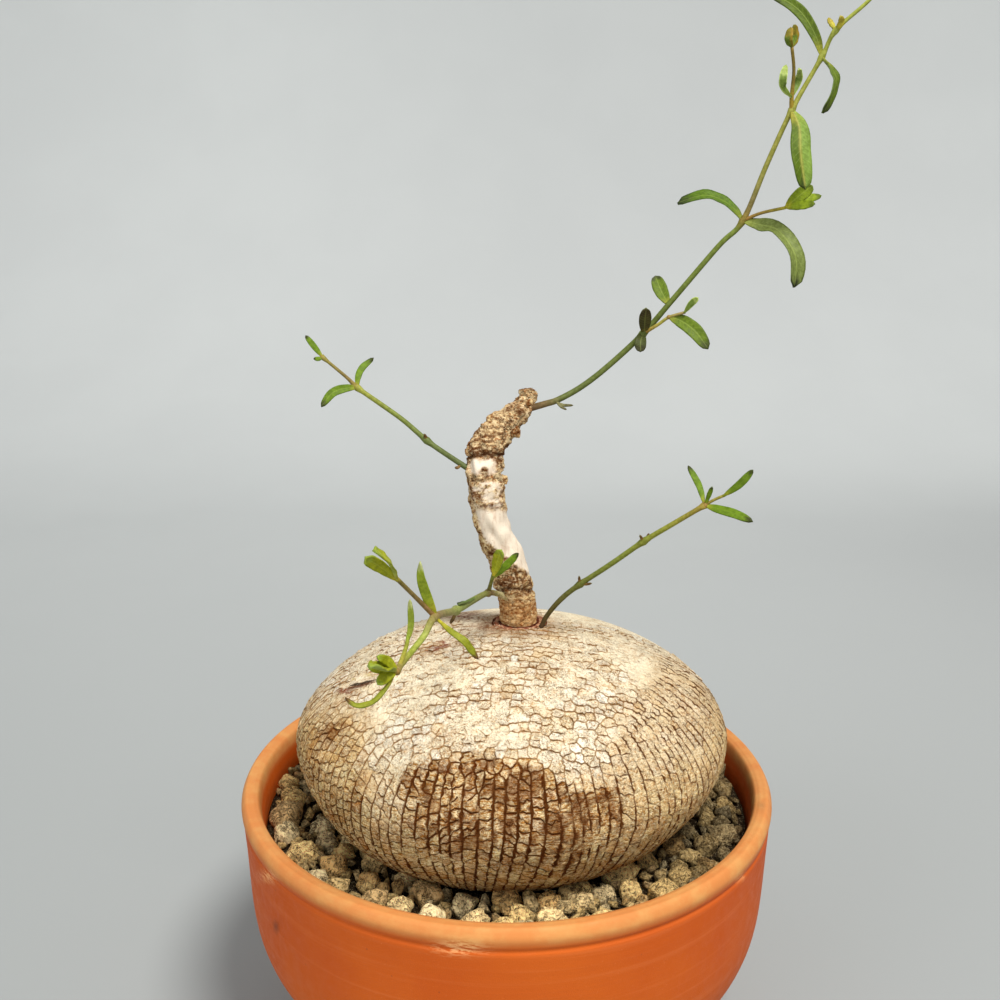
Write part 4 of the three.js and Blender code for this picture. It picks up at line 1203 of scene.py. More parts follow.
def make_caudex():
    rng = np.random.RandomState(11)
    meridian = Meridian()
    plates = lay_plates(meridian, rng)
    corners, rings = net_between(plates.ball)
    cracks = measure_cracks(rings, plates, rng)
    directions, hold, loops = lay_net(corners, rings, plates, cracks, rng)
    plates.kept = np.array([np.mean(hold[loop]) if loop else 0 for loop in loops])
    plates.colour = plate_colours(plates, rng)
    net = dress_net(meridian, directions, hold, loops, plates, rng)
    parts = {name: ([net.points], [net.tint], [net.place], []) for name in ("crown", "front", "back")}
    counts = dict.fromkeys(parts, len(net.points))
    for s, loop in enumerate(loops):
        k = len(loop)
        if k < 3:
            continue
        name = "crown" if plates.middle[s, 2] > COLUMN_TOP else "front" if plates.middle[s, 1] < 0 else "back"
        *gathered, faces = parts[name]
        for array, new in zip(gathered, raise_plate(plates, net, s, loop, rng)):
            array.append(new)
        count = counts[name]
        circles = [loop] + [range(count + i * k, count + (i + 1) * k) for i in range(3)]
        for i in range(k):
            j = (i + 1) % k
            for low, high in zip(circles, circles[1:]):
                faces.append((low[i], low[j], high[j], high[i]))
            faces.append((circles[-1][i], circles[-1][j], count + 3 * k))
        counts[name] += 3 * k + 1
    look = bark_look()
    for name, (points, tints, places, faces) in parts.items():
        points = np.concatenate(points)
        build = Build()
        build.add(points, faces, marked_and_shaded(points, np.concatenate(tints)), np.concatenate(places))
        if name == "crown":
            add_collar(build)
            add_flake(build)
        build.piece("caudex_" + name, "caudex", look, sharp=38)


def slanted(px, x, slant):
    """Pixels pushed down by slant for each step to the right of x."""
    return np.stack([px[:, 0], px[:, 1] + slant * (px[:, 0] - x)], 1)


def marked_and_shaded(points, tints):
    """Adds the brown wash, red-brown foot, scars, painted shadow under the flake, and ring round the trunk."""
    px = project(points)
    place = regions(points)
    rough = fbm01(points * (1.1, 1.1, 0.6), 41, 3, 0.65)
    tints = coat(tints, (116, 68, 32), 0.7 * place.brown * smooth(0.5, 0.62, rough))
    blotch = smooth(0.46, 0.6, fbm01(points * (0.2, 0.2, 0.26), 47, 4, 0.6))
    tints = coat(tints, (122, 76, 38), 0.62 * place.brown * blotch)
    wash = smooth(0.5, 0.75, fbm01(points * (0.5, 0.5, 0.3), 44, 4, 0.6))
    tints = coat(tints, (150, 100, 52), 0.55 * wash * (0.12 + 0.22 * place.low) * (1 - place.smooth))
    thready = smooth(0.5, 0.7, fbm01(points * (0.9, 0.9, 1.6), 46, 3, 0.7))
    tints = coat(tints, (140, 94, 48), 0.6 * thready * np.clip(place.left + 0.35 * place.sides, 0, 1))
    foot = smooth(86, 72, points[:, 2] + 5 * (rough - 0.5))
    tints = coat(tints, (168, 104, 56), 0.18 * foot)
    high = (points[:, 2] > 104) * (points[:, 1] < 30)
    scar = spots(px, SCARS) + spots(slanted(px, SLANTED_SCAR[0], SCAR_SLANT), [SLANTED_SCAR])
    scar = np.clip(scar * (0.2 + 1.2 * smooth(0.35, 0.6, rough)), 0, 1)
    tints = coat(tints, (134, 66, 44), 0.85 * scar * high)
    # painted shadow in the recess under the lifted flake's edge
    flake_shadow = smooth(0.3, 0.7, spots(slanted(px, FLAKE_SHADOW[0], FLAKE_SHADOW_SLANT), [FLAKE_SHADOW]))
    tints = coat(tints, (104, 54, 26), 0.9 * flake_shadow * high)
    around = np.hypot(points[:, 0] - TRUNK_FOOT[0], points[:, 1] - TRUNK_FOOT[1])
    ring = np.exp(-(((around - 9.5) / 3.2) ** 2)) * high
    return coat(tints, (176, 130, 80), 0.5 * ring)


# Rolls of the collar, as radius, thickness, height, and the colours on and between its cracks
COLLAR = [
    (7.3, 0.4, 121.2, (150, 98, 64), (84, 44, 26)),
    (6.4, 0.75, 121.4, (206, 160, 126), (140, 84, 60)),
    (5.5, 0.5, 121.7, (110, 56, 36), (58, 28, 18)),
]
COLLAR_SIDES, COLLAR_ROUND = 120, 14


def add_collar(build):
    """The cracked rolls of tissue round the trunk's foot."""
    foot = np.array(TRUNK_FOOT)
    turn = np.repeat(turns(COLLAR_SIDES), COLLAR_ROUND)
    b = np.tile(turns(COLLAR_ROUND), COLLAR_SIDES)
    faces = []
    for i in range(COLLAR_SIDES):
        for j in range(COLLAR_ROUND):
            here, onward = i * COLLAR_ROUND, (i + 1) % COLLAR_SIDES * COLLAR_ROUND
            k = (j + 1) % COLLAR_ROUND
            faces.append((here + j, onward + j, onward + k, here + k))
    for radius, thick, height, pale, dark in COLLAR:
        wave = 1 + 0.22 * np.sin(3 * turn + 1) + 0.13 * np.sin(8 * turn)
        reach = radius + 0.35 * np.sin(2 * turn + radius) + thick * wave * np.cos(b)
        rise = height + 0.85 * thick * wave * np.sin(b)
        points = np.stack([foot[0] + reach * np.cos(turn), foot[1] + reach * np.sin(turn), rise], 1)
        points = points + unit(points - foot) * (0.4 * fbm(points * 1.2, 51, 4, 0.65))[:, None]
        cracked = smooth(0.4, 0.62, fbm01(points * 1.1, 52, 4, 0.6))
        build.add(points, faces, ramp(pale, dark, cracked))


def surface_at(x, y):
    """Polar angle and turn of the caudex's front surface that pixel (x, y) shows."""
    theta, phi = np.meshgrid(np.linspace(0.05, 2.2, 260), np.linspace(-math.pi, 0.6, 420), indexing="ij")
    points = caudex_point(theta.ravel(), phi.ravel())
    px = project(points)
    miss = np.hypot(px[:, 0] - x, px[:, 1] - y) + 0.05 * points[:, 1]
    k = int(np.argmin(miss))
    return theta.ravel()[k], phi.ravel()[k]


# The lifted flake: its ends and middle in the photograph, and its grid of points
FLAKE_LEFT, FLAKE_RIGHT, FLAKE_MIDDLE = (345, 687), (379, 678), (362, 683)
FLAKE_ROWS, FLAKE_COLUMNS = 11, 21
FLAKE_THICK = 0.3
FLAKE_BEND_RADIUS = 62


def add_flake(build):
    """A lifted bark flake on the upper left, its free edge over a painted shadow, its underside painted dark as
    shade.
    """
    left, right, here = (caudex_point(*surface_at(*p)) for p in (FLAKE_LEFT, FLAKE_RIGHT, FLAKE_MIDDLE))
    east = unit(right - left)
    out = caudex_out(*surface_at(*FLAKE_MIDDLE))
    south = unit(np.cross(east, out))
    south = south * np.sign(-south[1])
    half_width = 0.5 * np.linalg.norm(right - left)
    upper = []
    for v in np.linspace(0, 1, FLAKE_ROWS):
        for u in np.linspace(-1, 1, FLAKE_COLUMNS):
            ragged = 0.5 * math.sin(5.2 * u + 0.6) + 0.3 * math.sin(13 * u)
            down = -3.4 * (1 - v) + v * (0.5 + 0.45 * ragged)
            across = half_width * u * (0.86 + 0.14 * v)
            lift = -0.25 + 1.35 * v**1.7 * (1 - 0.75 * u * u)
            bend = 0.5 * (across * across + down * down) / FLAKE_BEND_RADIUS
            upper.append(here + east * across + south * down + out * (lift - bend))
    upper = np.array(upper)
    top = ramp((246, 232, 202), (206, 184, 128), smooth(0.45, 0.75, fbm01(upper * 0.6, 55, 3)))
    # the flake's underside is painted dark, as shade
    under = np.tile(linear((112, 58, 30)), (len(upper), 1))
    points = np.concatenate([upper, upper - out * FLAKE_THICK])
    build.add(points, sheet_faces(FLAKE_ROWS, FLAKE_COLUMNS, flip=False), np.concatenate([top, under]))


# Trunk
# Stations (x, y, z, radius) from the caudex to the long shoot's foot, and knots (x, y, z, radius) on them
TRUNK = [
    (3.6, 7, 119, 5.2), (3.6, 7, 122, 5.2), (3, 6.5, 128.5, 5.2), (1.8, 6, 134.5, 5.4), (0, 5, 142, 5.2),
    (-3, 4, 148.5, 4.8), (-4.6, 3.5, 154, 4.7), (-5.7, 4, 161, 4.9), (-6.2, 5.5, 166.5, 5.1),
    (-5.4, 8, 171.5, 5.3), (-3.2, 10, 175, 4.6), (-0.4, 12, 178, 4.1), (3.2, 13, 181, 3.3),
    (5.6, 14, 185, 2.5), (5.4, 14, 187.5, 1.9),
]
TRUNK_KNOTS = [
    (-4, 10.6, 179.2, 2), (-9.8, 6.5, 171.5, 1.8), (2.3, 9.4, 176.4, 1.9), (-1.3, 8.2, 163, 1.8),
    (6, 12, 184, 1.5),
]
TRUNK_SIDES, TRUNK_SPAN = 96, 20
# Ledges where the bark has broken off, as (row of pixels, depth, half width), and the dark lines under two
# of them, as (row, half width)
LEDGES = [(455, 0.5, 2.6), (480, 0.4, 1.8), (575, 0.5, 2.0), (590, 0.6, 2.4)]
DARK_LINES = [(455, 2.2), (590, 1.6)]
# Left edge of the long bare patch: rows and columns of pixels
BARE_ROWS = [505, 511, 543, 549, 562, 574]
BARE_COLUMNS = [474, 475, 485, 497, 513, 530]
WOOD_BROWN = (136, 98, 58)
WOOD_DARK = (94, 61, 35)
WOOD_CREAM = (206, 182, 134)


def trunk_relief(t, angle):
    """The solids' own knobs and flakes, fading out at the foot."""
    fade = np.clip((t - 0.09) / 0.09, 0, 1) * np.where(t > 0.55, 1.5, 1)
    knots = np.sin(3 * angle + 21 * t) * np.sin(34 * t + 2 * angle)
    flakes = np.sin(61 * t + 4 * angle) * np.cos(5 * angle - 27 * t)
    return fade * (0.34 * knots + 0.26 * flakes)


def plateau(x, rise0, rise1, fall0, fall1):
    """1 from rise1 to fall0 and 0 outside rise0 to fall1."""
    return smooth(rise0, rise1, x) * smooth(fall1, fall0, x)


def bare_wood(points):
    """Where the corky bark has come off, from 0 to 1: three patches in front, and noise behind."""
    px = project(points)
    x = px[:, 0] + 4 * fbm(points * 0.5, 61, 4, 0.6)
    y = px[:, 1] + 4 * fbm(points * 0.5 + 40, 62, 4, 0.6)
    high = plateau(x, 468, 472, 493, 498) * plateau(y, 457, 460, 472, 476)
    high = high * (1 - smooth(7, 3, np.hypot(x - 485, y - 472)))
    middle = 0.85 * plateau(x, 470, 475, 498, 504) * plateau(y, 480, 484, 505, 510)
    middle = middle * smooth(-0.12, 0.18, fbm(points * (0.4, 0.4, 0.9), 68, 4, 0.6))
    left_edge = np.interp(y, BARE_ROWS, BARE_COLUMNS)
    long = smooth(left_edge - 2, left_edge + 2, x) * plateau(y, 507, 513, 571, 577)
    back = smooth(0.1, 0.22, fbm(points * 0.09 + 3, 63, 3)) * plateau(points[:, 2], 122, 135, 168, 176)
    front = smooth(9, 6.5, points[:, 1])
    return np.clip(np.maximum.reduce([high, middle, long]) * front + back * (1 - front), 0, 1)


def trunk_tints(points, bare, blocks, row, broken_row):
    """Mottled bark with flecks and dark cracks between its blocks, and white bare wood."""
    height = points[:, 2]
    dark = linear(WOOD_DARK)
    hue = fbm01(points * (0.3, 0.3, 0.5) + 11, 67, 5, 0.7)
    pale = ramp(WOOD_CREAM, (200, 175, 132), smooth(152, 160, height))
    bark = mix(linear(WOOD_BROWN), pale, smooth(0.4, 0.6, hue + 0.06 * smooth(150, 165, height)))
    bark = mix(bark, dark, smooth(0.44, 0.34, hue) * 0.9)
    flecks = fbm01(points * (0.7, 0.7, 1.3) + 31, 69, 4, 0.65)
    bark = coat(bark, (232, 214, 176), 0.6 * smooth(0.57, 0.67, flecks) * smooth(126, 132, height))
    bark = mix(bark, dark, 0.8 * smooth(0.46, 0.36, flecks))
    bark = mix(bark, dark, 0.85 * smooth(0.07, 0.0, blocks))
    tints = coat(bark, (216, 203, 184), bare)
    tints = coat(tints, (186, 138, 84), 0.55 * smooth(592, 606, row) * (1 - bare))
    for y, width in DARK_LINES:
        line = np.exp(-(((broken_row - y) / width) ** 2))
        tints = coat(tints, (74, 48, 30), 0.8 * line * (1 - bare))
    return tints


def make_trunk():
    place, out, radius = tube_rings(TRUNK, TRUNK_SPAN, TRUNK_SIDES)
    t = np.arange(len(place)) / (len(place) - 1)
    t, angle = np.meshgrid(t, turns(TRUNK_SIDES), indexing="ij")
    reach = radius[:, None] + trunk_relief(t, angle)
    points = (place[:, None] + out * reach[..., None]).reshape(-1, 3)
    bare = bare_wood(points)
    cork = 1 - bare
    ragged = fbm(points * 0.6, 64, 5, 0.66)
    blocks = np.abs(fbm(points * 0.7 + 7, 65, 4, 0.6))
    crest = smooth(150, 172, points[:, 2])
    lift = 0.05 - 0.2 * crest + (0.6 + 0.5 * crest) * ragged - 0.5 * smooth(0.09, 0.0, blocks)
    lift = (cork * lift - 0.3 * bare) * smooth(0.02, 0.1, t.ravel())
    row = project(points)[:, 1]
    broken_row = row + 3 * fbm(points * 0.35, 66, 3)
    for y, depth, width in LEDGES:
        lift -= depth * np.exp(-(((broken_row - y) / width) ** 2)) * (0.4 + 0.6 * cork)
    points = points + out.reshape(-1, 3) * lift[:, None]
    places = np.zeros((len(points), 3))
    places[:, 2] = bare
    build = Build()
    tints = trunk_tints(points, bare, blocks, row, broken_row)
    build.add(points, tube_faces(len(place), TRUNK_SIDES), tints, places)
    ball, faces = icosphere(4)
    for k, (x, y, z, r) in enumerate(TRUNK_KNOTS):
        lumpy = 0.82 + 0.5 * fbm(ball * 1.9 + 9 * k, 70 + k, 4, 0.65)
        knot = ball * (r * lumpy)[:, None] + (x, y, z)
        hue = fbm01(knot * 0.6, 75, 5, 0.7)
        tints = ramp(WOOD_BROWN, WOOD_CREAM, smooth(0.45, 0.65, hue))
        build.add(knot, faces, coat(tints, WOOD_DARK, smooth(0.42, 0.3, hue) * 0.8))
    build.piece("neck_bark", "trunk", wood_look())


# Shoots
# Colours (0 to 255) of a leaf: near its stem, its middle, its tip, and where the tip's colour starts
LEAVES = {
    "olive": ((100, 92, 36), (66, 62, 26), (56, 48, 22), 0.7),
    "darkolive": ((76, 80, 36), (62, 68, 30), (50, 50, 24), 0.7),
    "bright": ((140, 144, 38), (94, 120, 18), (52, 58, 18), 0.88),
    "new": ((130, 134, 40), (90, 110, 20), (54, 62, 20), 0.88),
    "mid": ((124, 134, 48), (78, 104, 20), (46, 58, 22), 0.88),
    "sage": ((126, 134, 60), (104, 116, 58), (22, 24, 16), 0.95),
    "fan": ((164, 156, 36), (120, 138, 22), (92, 108, 24), 0.85),
    "deep": ((132, 126, 38), (74, 94, 14), (52, 66, 16), 0.9),
    "wing": ((138, 136, 42), (78, 96, 16), (54, 64, 18), 0.85),
    "curl": ((112, 126, 48), (98, 120, 46), (140, 156, 80), 0.7),
    "bud": ((96, 104, 28), (88, 108, 30), (112, 102, 28), 0.6),
    "bract": ((150, 150, 46), (172, 162, 54), (160, 144, 52), 0.6),
    "scale": ((132, 102, 60), (124, 94, 52), (92, 66, 36), 0.6),
    "twig": ((104, 98, 62), (112, 108, 72), (96, 90, 60), 0.6),
    "lime": ((150, 158, 46), (112, 140, 24), (78, 98, 22), 0.82),
    "glow": ((180, 166, 44), (148, 152, 26), (134, 148, 44), 0.85),
    "tipped": ((168, 158, 46), (124, 128, 28), (96, 62, 34), 0.88),
    "palertip": ((168, 164, 48), (140, 156, 42), (180, 186, 130), 0.84),
    "stalk": ((164, 150, 56), (112, 124, 34), (160, 164, 112), 0.86),
}


def leaf(look, width, *rib, **form):
    """A leaf's look, width, midrib from its stem to its tip, and what else sets its form."""
    return dict(look=look, width=width, rib=rib, **form)


# Each shoot: its stem as (x, y, z, radius), the stem's colours as (part of the way, red, green, blue), its
# side stems with theirs, its joints, and its leaves
SHOOT_LONG = dict(
    stem=[
        (5.6, 13.3, 182, 1.15), (10.7, 13.5, 183.4, 1.05), (14.3, 14, 184.5, 1), (20.7, 16, 187.7, 0.95),
        (28, 18, 193, 0.95), (38, 20, 202, 0.95), (46, 20, 211.5, 0.9), (58, 20, 226, 0.85),
        (64, 19.5, 232.5, 0.85), (69, 17, 247, 0.8), (74, 14, 260.5, 0.75), (80, 11, 273, 0.65),
        (82.5, 9, 279, 0.6), (89.5, 7, 285.5, 0.55), (96, 5, 293, 0.5),
    ],
    stem_colours=[
        (0, 98, 72, 48), (0.07, 104, 86, 54), (0.13, 100, 96, 56), (0.16, 90, 98, 48), (0.2, 84, 93, 44),
        (0.38, 88, 99, 43), (0.55, 104, 118, 48), (0.575, 132, 113, 51), (0.6, 124, 112, 70),
        (0.63, 150, 146, 74), (0.7, 160, 158, 76), (0.8, 155, 160, 71), (1, 148, 157, 69),
    ],
    sides=[
        (
            [(38, 20, 202, 0.6), (42, 17.5, 205, 0.55), (44.5, 16, 207, 0.5), (48.5, 14, 208.5, 0.45)],
            [(0, 150, 114, 57), (0.4, 167, 160, 75), (1, 141, 123, 82)],
        ),
        (
            [(64, 19.5, 232.5, 0.6), (68, 17, 234.5, 0.5), (74, 14, 236, 0.5)],
            [(0, 141, 106, 54), (0.6, 134, 113, 54), (1, 167, 155, 54)],
        ),
        (
            [(74, 14, 260, 0.7), (73.5, 13, 263.5, 0.65), (73.5, 12.5, 270, 0.5), (72.5, 12, 275.5, 0.5)],
            [(0, 155, 132, 46), (0.3, 151, 128, 46), (0.6, 106, 92, 39), (1, 118, 99, 41)],
        ),
    ],
    joints=[
        (38, 20, 202), (44.5, 16, 207), (64, 19.5, 232.5), (74, 14, 260.5), (80, 11, 273), (82.5, 9, 279),
    ],
    leaves=[
        leaf("twig", 0.8, (13.4, 13.6, 184.2), (15.6, 12.8, 183.2), (18.4, 12.4, 183.2)),
        leaf("twig", 0.7, (13.4, 13.6, 184.4), (14.9, 12.6, 182.9), (16.6, 12.2, 182.0)),
        leaf("olive", 3.4, (38.3, 20, 202.3), (38, 17, 206), (38, 15, 209.5)),
        leaf("darkolive", 3.2, (38, 20, 202), (37, 17, 200), (37, 16, 197.5)),
        leaf("new", 4, (44.8, 20, 210), (43, 23, 213.5), (41.5, 25, 217.5)),
        leaf("curl", 1.8, (48.3, 14, 208.4), (50, 13, 211), (51.5, 12, 212.5)),
        leaf("new", 4.2, (44.5, 16, 207), (47.5, 14.5, 206), (51, 12, 203.5), (54.5, 10, 199)),
        leaf(
            "mid", 4.4, (64, 19.5, 232.5), (61.5, 20.5, 235.5), (58, 22, 238), (53.5, 23, 239), (47, 25, 237),
            face=(0.2, -0.55, 0.8), blunt=0.26,
        ),
        leaf(
            "sage", 5, (64, 19.5, 232.5), (67.5, 17, 231.5), (72, 13, 230), (76, 9, 223.5), (76, 8, 215.5),
            face=(0.55, -1, 0.1), fold=0.4, blunt=0.24,
        ),
        leaf("fan", 3.6, (74, 14, 236), (77, 12, 239), (80, 11, 241.5)),
        leaf("fan", 2.2, (74, 14, 236), (79, 15, 238), (84, 17, 239)),
        leaf("fan", 2.4, (74, 14, 236), (77, 11, 236.5), (80, 8, 237)),
        leaf(
            "deep", 5.4, (74, 14, 260.5), (75.3, 11, 256), (75.3, 8.5, 251), (75.8, 7.5, 246.5),
            (77, 7, 240.5), face=(0.1, -1, -0.1), wave=0.5,
        ),
        leaf("curl", 2.0, (73.5, 13, 263.5), (70.5, 10, 265.5), (70, 9, 268), (71, 11, 271)),
        leaf("curl", 2.0, (73.5, 13, 263.5), (75, 15, 266.5), (75.5, 15, 268.5), (75, 13, 270.5)),
        leaf("bud", 2.0, (72.5, 12, 275.5), (71.2, 10.6, 277.2), (71.8, 11.3, 280), face=(-0.5, -1, 0)),
        leaf("bud", 2.0, (72.5, 12, 275.5), (73.6, 13.5, 278), (73, 13, 281), face=(0.5, -1, 0)),
        leaf(
            "wing", 3, (80, 11, 273), (79, 13, 277.5), (76, 15, 283), (72.5, 17, 286.5), (67, 19, 289.5),
            face=(-0.5, -1, 0.4),
        ),
        leaf(
            "wing", 3, (80, 11, 273), (81.5, 8, 270), (82.5, 6, 267), (81.5, 5, 263.5), (79.5, 5, 259),
            face=(0.8, -0.8, 0.2), wave=0.4,
        ),
        leaf("bract", 1.6, (82.5, 9, 279), (83.2, 7.5, 280.5), (82.8, 6.5, 282)),
        leaf("bract", 1.3, (82.5, 9, 279), (81.5, 9.5, 280.5), (80.6, 10, 282)),
        leaf("lime", 2.6, (95.5, 5.2, 292.4), (94, 6, 296), (91.5, 7, 299.5)),
        leaf("lime", 2.6, (95.5, 5.2, 292.4), (99.5, 4, 294), (103, 3, 293)),
        leaf("lime", 1.8, (95.5, 5.2, 292.4), (97.5, 4.6, 295.5), (99, 4, 299)),
    ],
)
SHOOT_LEFT = dict(
    stem=[
        (-9.3, 5.5, 166, 0.95), (-16.5, 7, 170.5, 0.85), (-22, 9, 174, 0.85), (-28.5, 12, 179, 0.8),
        (-35, 14, 183.3, 0.8), (-41.5, 16, 187.5, 0.75), (-44.7, 17, 190.4, 0.55), (-51.5, 18, 196, 0.5),
    ],
    stem_colours=[
        (0, 84, 93, 54), (0.3, 95, 106, 54), (0.5, 113, 123, 51), (0.7, 141, 143, 59), (0.75, 132, 114, 57),
        (0.85, 118, 99, 54), (1, 132, 123, 57),
    ],
    sides=[],
    joints=[(-22, 9, 174), (-41.5, 16, 187.5), (-51.3, 18, 195.8)],
    leaves=[
        leaf("bright", 1.9, (-41.5, 16, 187.5), (-41.5, 17.5, 190), (-40.5, 20, 192.5), (-37.5, 22, 195)),
        leaf("bright", 2.5, (-41.5, 16, 187.5), (-44.5, 15, 187.5), (-48, 13, 186.5), (-51, 11, 183)),
        leaf("bright", 1.7, (-51.2, 18, 195.8), (-53.5, 19, 198.5), (-56, 20, 201.5)),
        leaf("bright", 1.2, (-51.2, 18, 195.8), (-52.2, 17.2, 195.4), (-53.4, 16.5, 195.6)),
        leaf("scale", 0.85, (-22, 9, 174), (-22.2, 8.4, 175), (-22.6, 8, 176)),
        leaf("scale", 0.85, (-12.5, 6, 168), (-13.3, 5.4, 167.2), (-14.2, 5.2, 167.2)),
    ],
)
SHOOT_RIGHT = dict(
    stem=[
        (9.4, 3.1, 120.6, 0.8), (11.5, 2.7, 125.2, 0.8), (15.4, 1, 130.8, 0.88), (20.3, -1, 135.7, 0.85),
        (28.3, -4, 142.5, 0.85), (36.5, -7, 149.8, 0.85), (42.8, -10, 155, 0.8), (51.3, -13, 161.5, 0.75),
    ],
    stem_colours=[
        (0, 50, 36, 22), (0.06, 72, 54, 32), (0.18, 84, 74, 40), (0.35, 92, 93, 44), (0.6, 111, 120, 48),
        (0.85, 132, 134, 51), (1, 141, 123, 54),
    ],
    sides=[
        (
            [(51.3, -13, 161.5, 0.5), (53.5, -14, 163.2, 0.45), (56, -15, 164.7, 0.45)],
            [(0, 141, 123, 57), (1, 148, 141, 62)],
        ),
    ],
    joints=[(20.3, -1, 135.7), (36.5, -7, 149.8), (51.3, -13, 161.5)],
    leaves=[
        leaf("bright", 1.7, (51.2, -13, 161.4), (50, -10, 166), (47.5, -7, 170.5)),
        leaf("bright", 1.2, (51.3, -13, 161.4), (52, -14, 164.5), (52.5, -15, 166.8)),
        leaf("bright", 2.0, (55.5, -14.9, 164.4), (59, -17, 168), (62, -18, 172)),
        leaf("bright", 2.4, (51.2, -13, 161.4), (54, -15, 161), (58, -18, 160.5), (62, -21, 159.3)),
        leaf("scale", 0.75, (20.3, -1, 135.7), (20, -1.5, 137), (19.9, -2, 138.3)),
        leaf("scale", 0.75, (20.3, -1, 135.7), (21.8, -2, 136), (23.2, -3, 136.6)),
        leaf("scale", 0.75, (36.5, -7, 149.8), (35.9, -7.6, 150.8), (35.4, -8, 151.8)),
        leaf("scale", 0.75, (36.8, -7.1, 150), (37.5, -6.5, 150.8), (38, -6.1, 151.8)),
    ],
)
SHOOT_FRONT = dict(
    stem=[
        (1.3, 3.6, 129.8, 1.6), (-1.7, 1.4, 131.8, 0.95), (-5, -9, 136, 0.9), (-8.7, -28, 140.7, 1),
        (-12, -48, 145.6, 1), (-15.5, -70, 152.4, 0.95), (-17.5, -75, 150.2, 0.8), (-19.6, -79, 148.6, 0.75),
        (-22.5, -86, 147, 0.75),
    ],
    stem_colours=[
        (0, 170, 140, 96), (0.1, 186, 172, 134), (0.18, 158, 150, 108), (0.25, 116, 92, 56),
        (0.28, 122, 122, 64), (0.4, 113, 120, 60), (0.5, 132, 141, 69), (0.62, 132, 109, 72),
        (0.75, 151, 158, 79), (0.9, 141, 148, 57), (1, 132, 114, 66),
    ],
    sides=[
        (
            [(-15.5, -70, 152.4, 0.7), (-19.5, -74, 158.5, 0.55), (-22.5, -78, 163.5, 0.55)],
            [(0, 141, 106, 66), (0.5, 125, 104, 61), (1, 113, 102, 49)],
        ),
        (
            [(-5, -9, 136, 0.75), (-4.3, -10.3, 139, 0.6), (-3.5, -12, 142.5, 0.6)],
            [(0, 106, 92, 54), (1, 109, 118, 44)],
        ),
        (
            [(-22, -84.5, 147.2, 0.6), (-20.7, -82.5, 150.5, 0.5), (-20.2, -81.5, 153, 0.45)],
            [(0, 155, 141, 57), (1, 132, 150, 49)],
        ),
    ],
    joints=[(-5, -9, 136), (-12, -48, 145.5), (-15.5, -70, 152.4), (-22.5, -86, 147)],
    leaves=[
        leaf(
            "glow", 2.7, (-22.5, -78, 163.3), (-25.2, -81, 167), (-28, -84, 170), face=(0.6, -1, -0.5),
            blunt=0.2,
        ),
        leaf(
            "glow", 2.5, (-22.5, -78, 163.3), (-23.5, -83, 168.5), (-26, -87, 172.5), face=(0.7, -0.3, 1),
            blunt=0.2,
        ),
        leaf(
            "palertip", 2.1, (-15.6, -70, 152.6), (-17.3, -73, 159), (-18, -75, 163), (-18, -76, 166.5),
            swell=0.3, blunt=0.6,
        ),
        leaf(
            "tipped", 1.6, (-15.3, -70.5, 152.3), (-12.2, -73.5, 150.6), (-9.3, -75, 149), (-8, -74.6, 147),
            (-6.5, -74, 144.5), face=(0.3, -1, 0.8),
        ),
        leaf("stalk", 1.3, (-20.6, -82.3, 151), (-19.8, -80, 154.5), (-20, -79, 159.5)),
        leaf(
            "glow", 3.4, (-22.5, -86, 147), (-24.5, -90, 149.2), (-26.5, -94, 151.5), face=(-0.2, -0.5, 1),
            wave=0.5,
        ),
        leaf(
            "glow", 2.4, (-22.5, -86, 147), (-25, -88, 148.6), (-27.6, -89, 149.4), face=(0.2, -1, 0.5),
            wave=0.4,
        ),
        leaf(
            "glow", 1.9, (-22.5, -86, 147), (-23.6, -87.5, 149.6), (-25.8, -88.5, 151.2), face=(0.5, -1, 0.3),
            wave=0.4,
        ),
        leaf(
            "glow", 2.4, (-22.5, -86, 147), (-24, -88.5, 147.2), (-25.6, -90.5, 146.2), face=(0.3, -1, 0.8),
            wave=0.4,
        ),
        leaf(
            "tipped", 1.1, (-22.5, -86, 147), (-24, -89, 145), (-26.5, -92, 143.2), (-29.5, -93, 142.9),
            (-31.8, -92, 144), face=(0.1, -0.6, 1),
        ),
        leaf(
            "glow", 3.0, (-3.5, -12, 142), (-2.5, -14, 146), (-1.5, -17, 150.5), face=(-0.5, -1, 0),
            blunt=0.25,
        ),
        leaf("bright", 2.2, (-4, -11.2, 140.8), (-0.5, -12, 144.5), (3, -10, 147.5), face=(0.4, -1, 0)),
        leaf("scale", 0.85, (-12, -48, 145.5), (-12.6, -48.6, 144), (-13.4, -49.2, 142.8)),
        leaf("mid", 1.6, (-7.9, -24, 140.2), (-9.6, -36, 143.4), (-11.6, -47, 146.8), face=(-0.6, -0.6, 1)),
    ],
)
SHOOTS = {
    "shoot_long": SHOOT_LONG, "shoot_left": SHOOT_LEFT, "shoot_right": SHOOT_RIGHT,
    "shoot_front": SHOOT_FRONT,
}
STEM_SLIMNESS = 0.86
STEM_SPAN = 8
JOINT_COLOUR = (140, 112, 58)
LEAF_COLUMNS = 9


def gradient(stops, t):
    """Linear colours at t between stops (t, red, green, blue), which are sRGB."""
    at = [s[0] for s in stops]
    colours = linear([s[1:] for s in stops])
    return np.stack([np.interp(t, at, colours[:, i]) for i in range(3)], 1)


def add_stem(build, stations, stops, joints=(), sides=12):
    """A stem through stations (x, y, z, radius), swollen at its joints."""
    place, out, radius = tube_rings(stations, STEM_SPAN, sides)
    radius = STEM_SLIMNESS * radius
    for joint in joints:
        away = np.linalg.norm(place - joint, axis=1)
        radius = radius + 0.38 * np.exp(-((away / 1.2) ** 2))
    points = (place[:, None] + out * radius[:, None, None]).reshape(-1, 3)
    rings = len(place)
    tints = np.repeat(gradient(stops, np.arange(rings) / (rings - 1)), sides, axis=0)
    streak = 1 + 0.12 * fbm(points * 0.8, 81, 3)
    build.add(points, tube_faces(rings, sides), tints * streak[:, None])


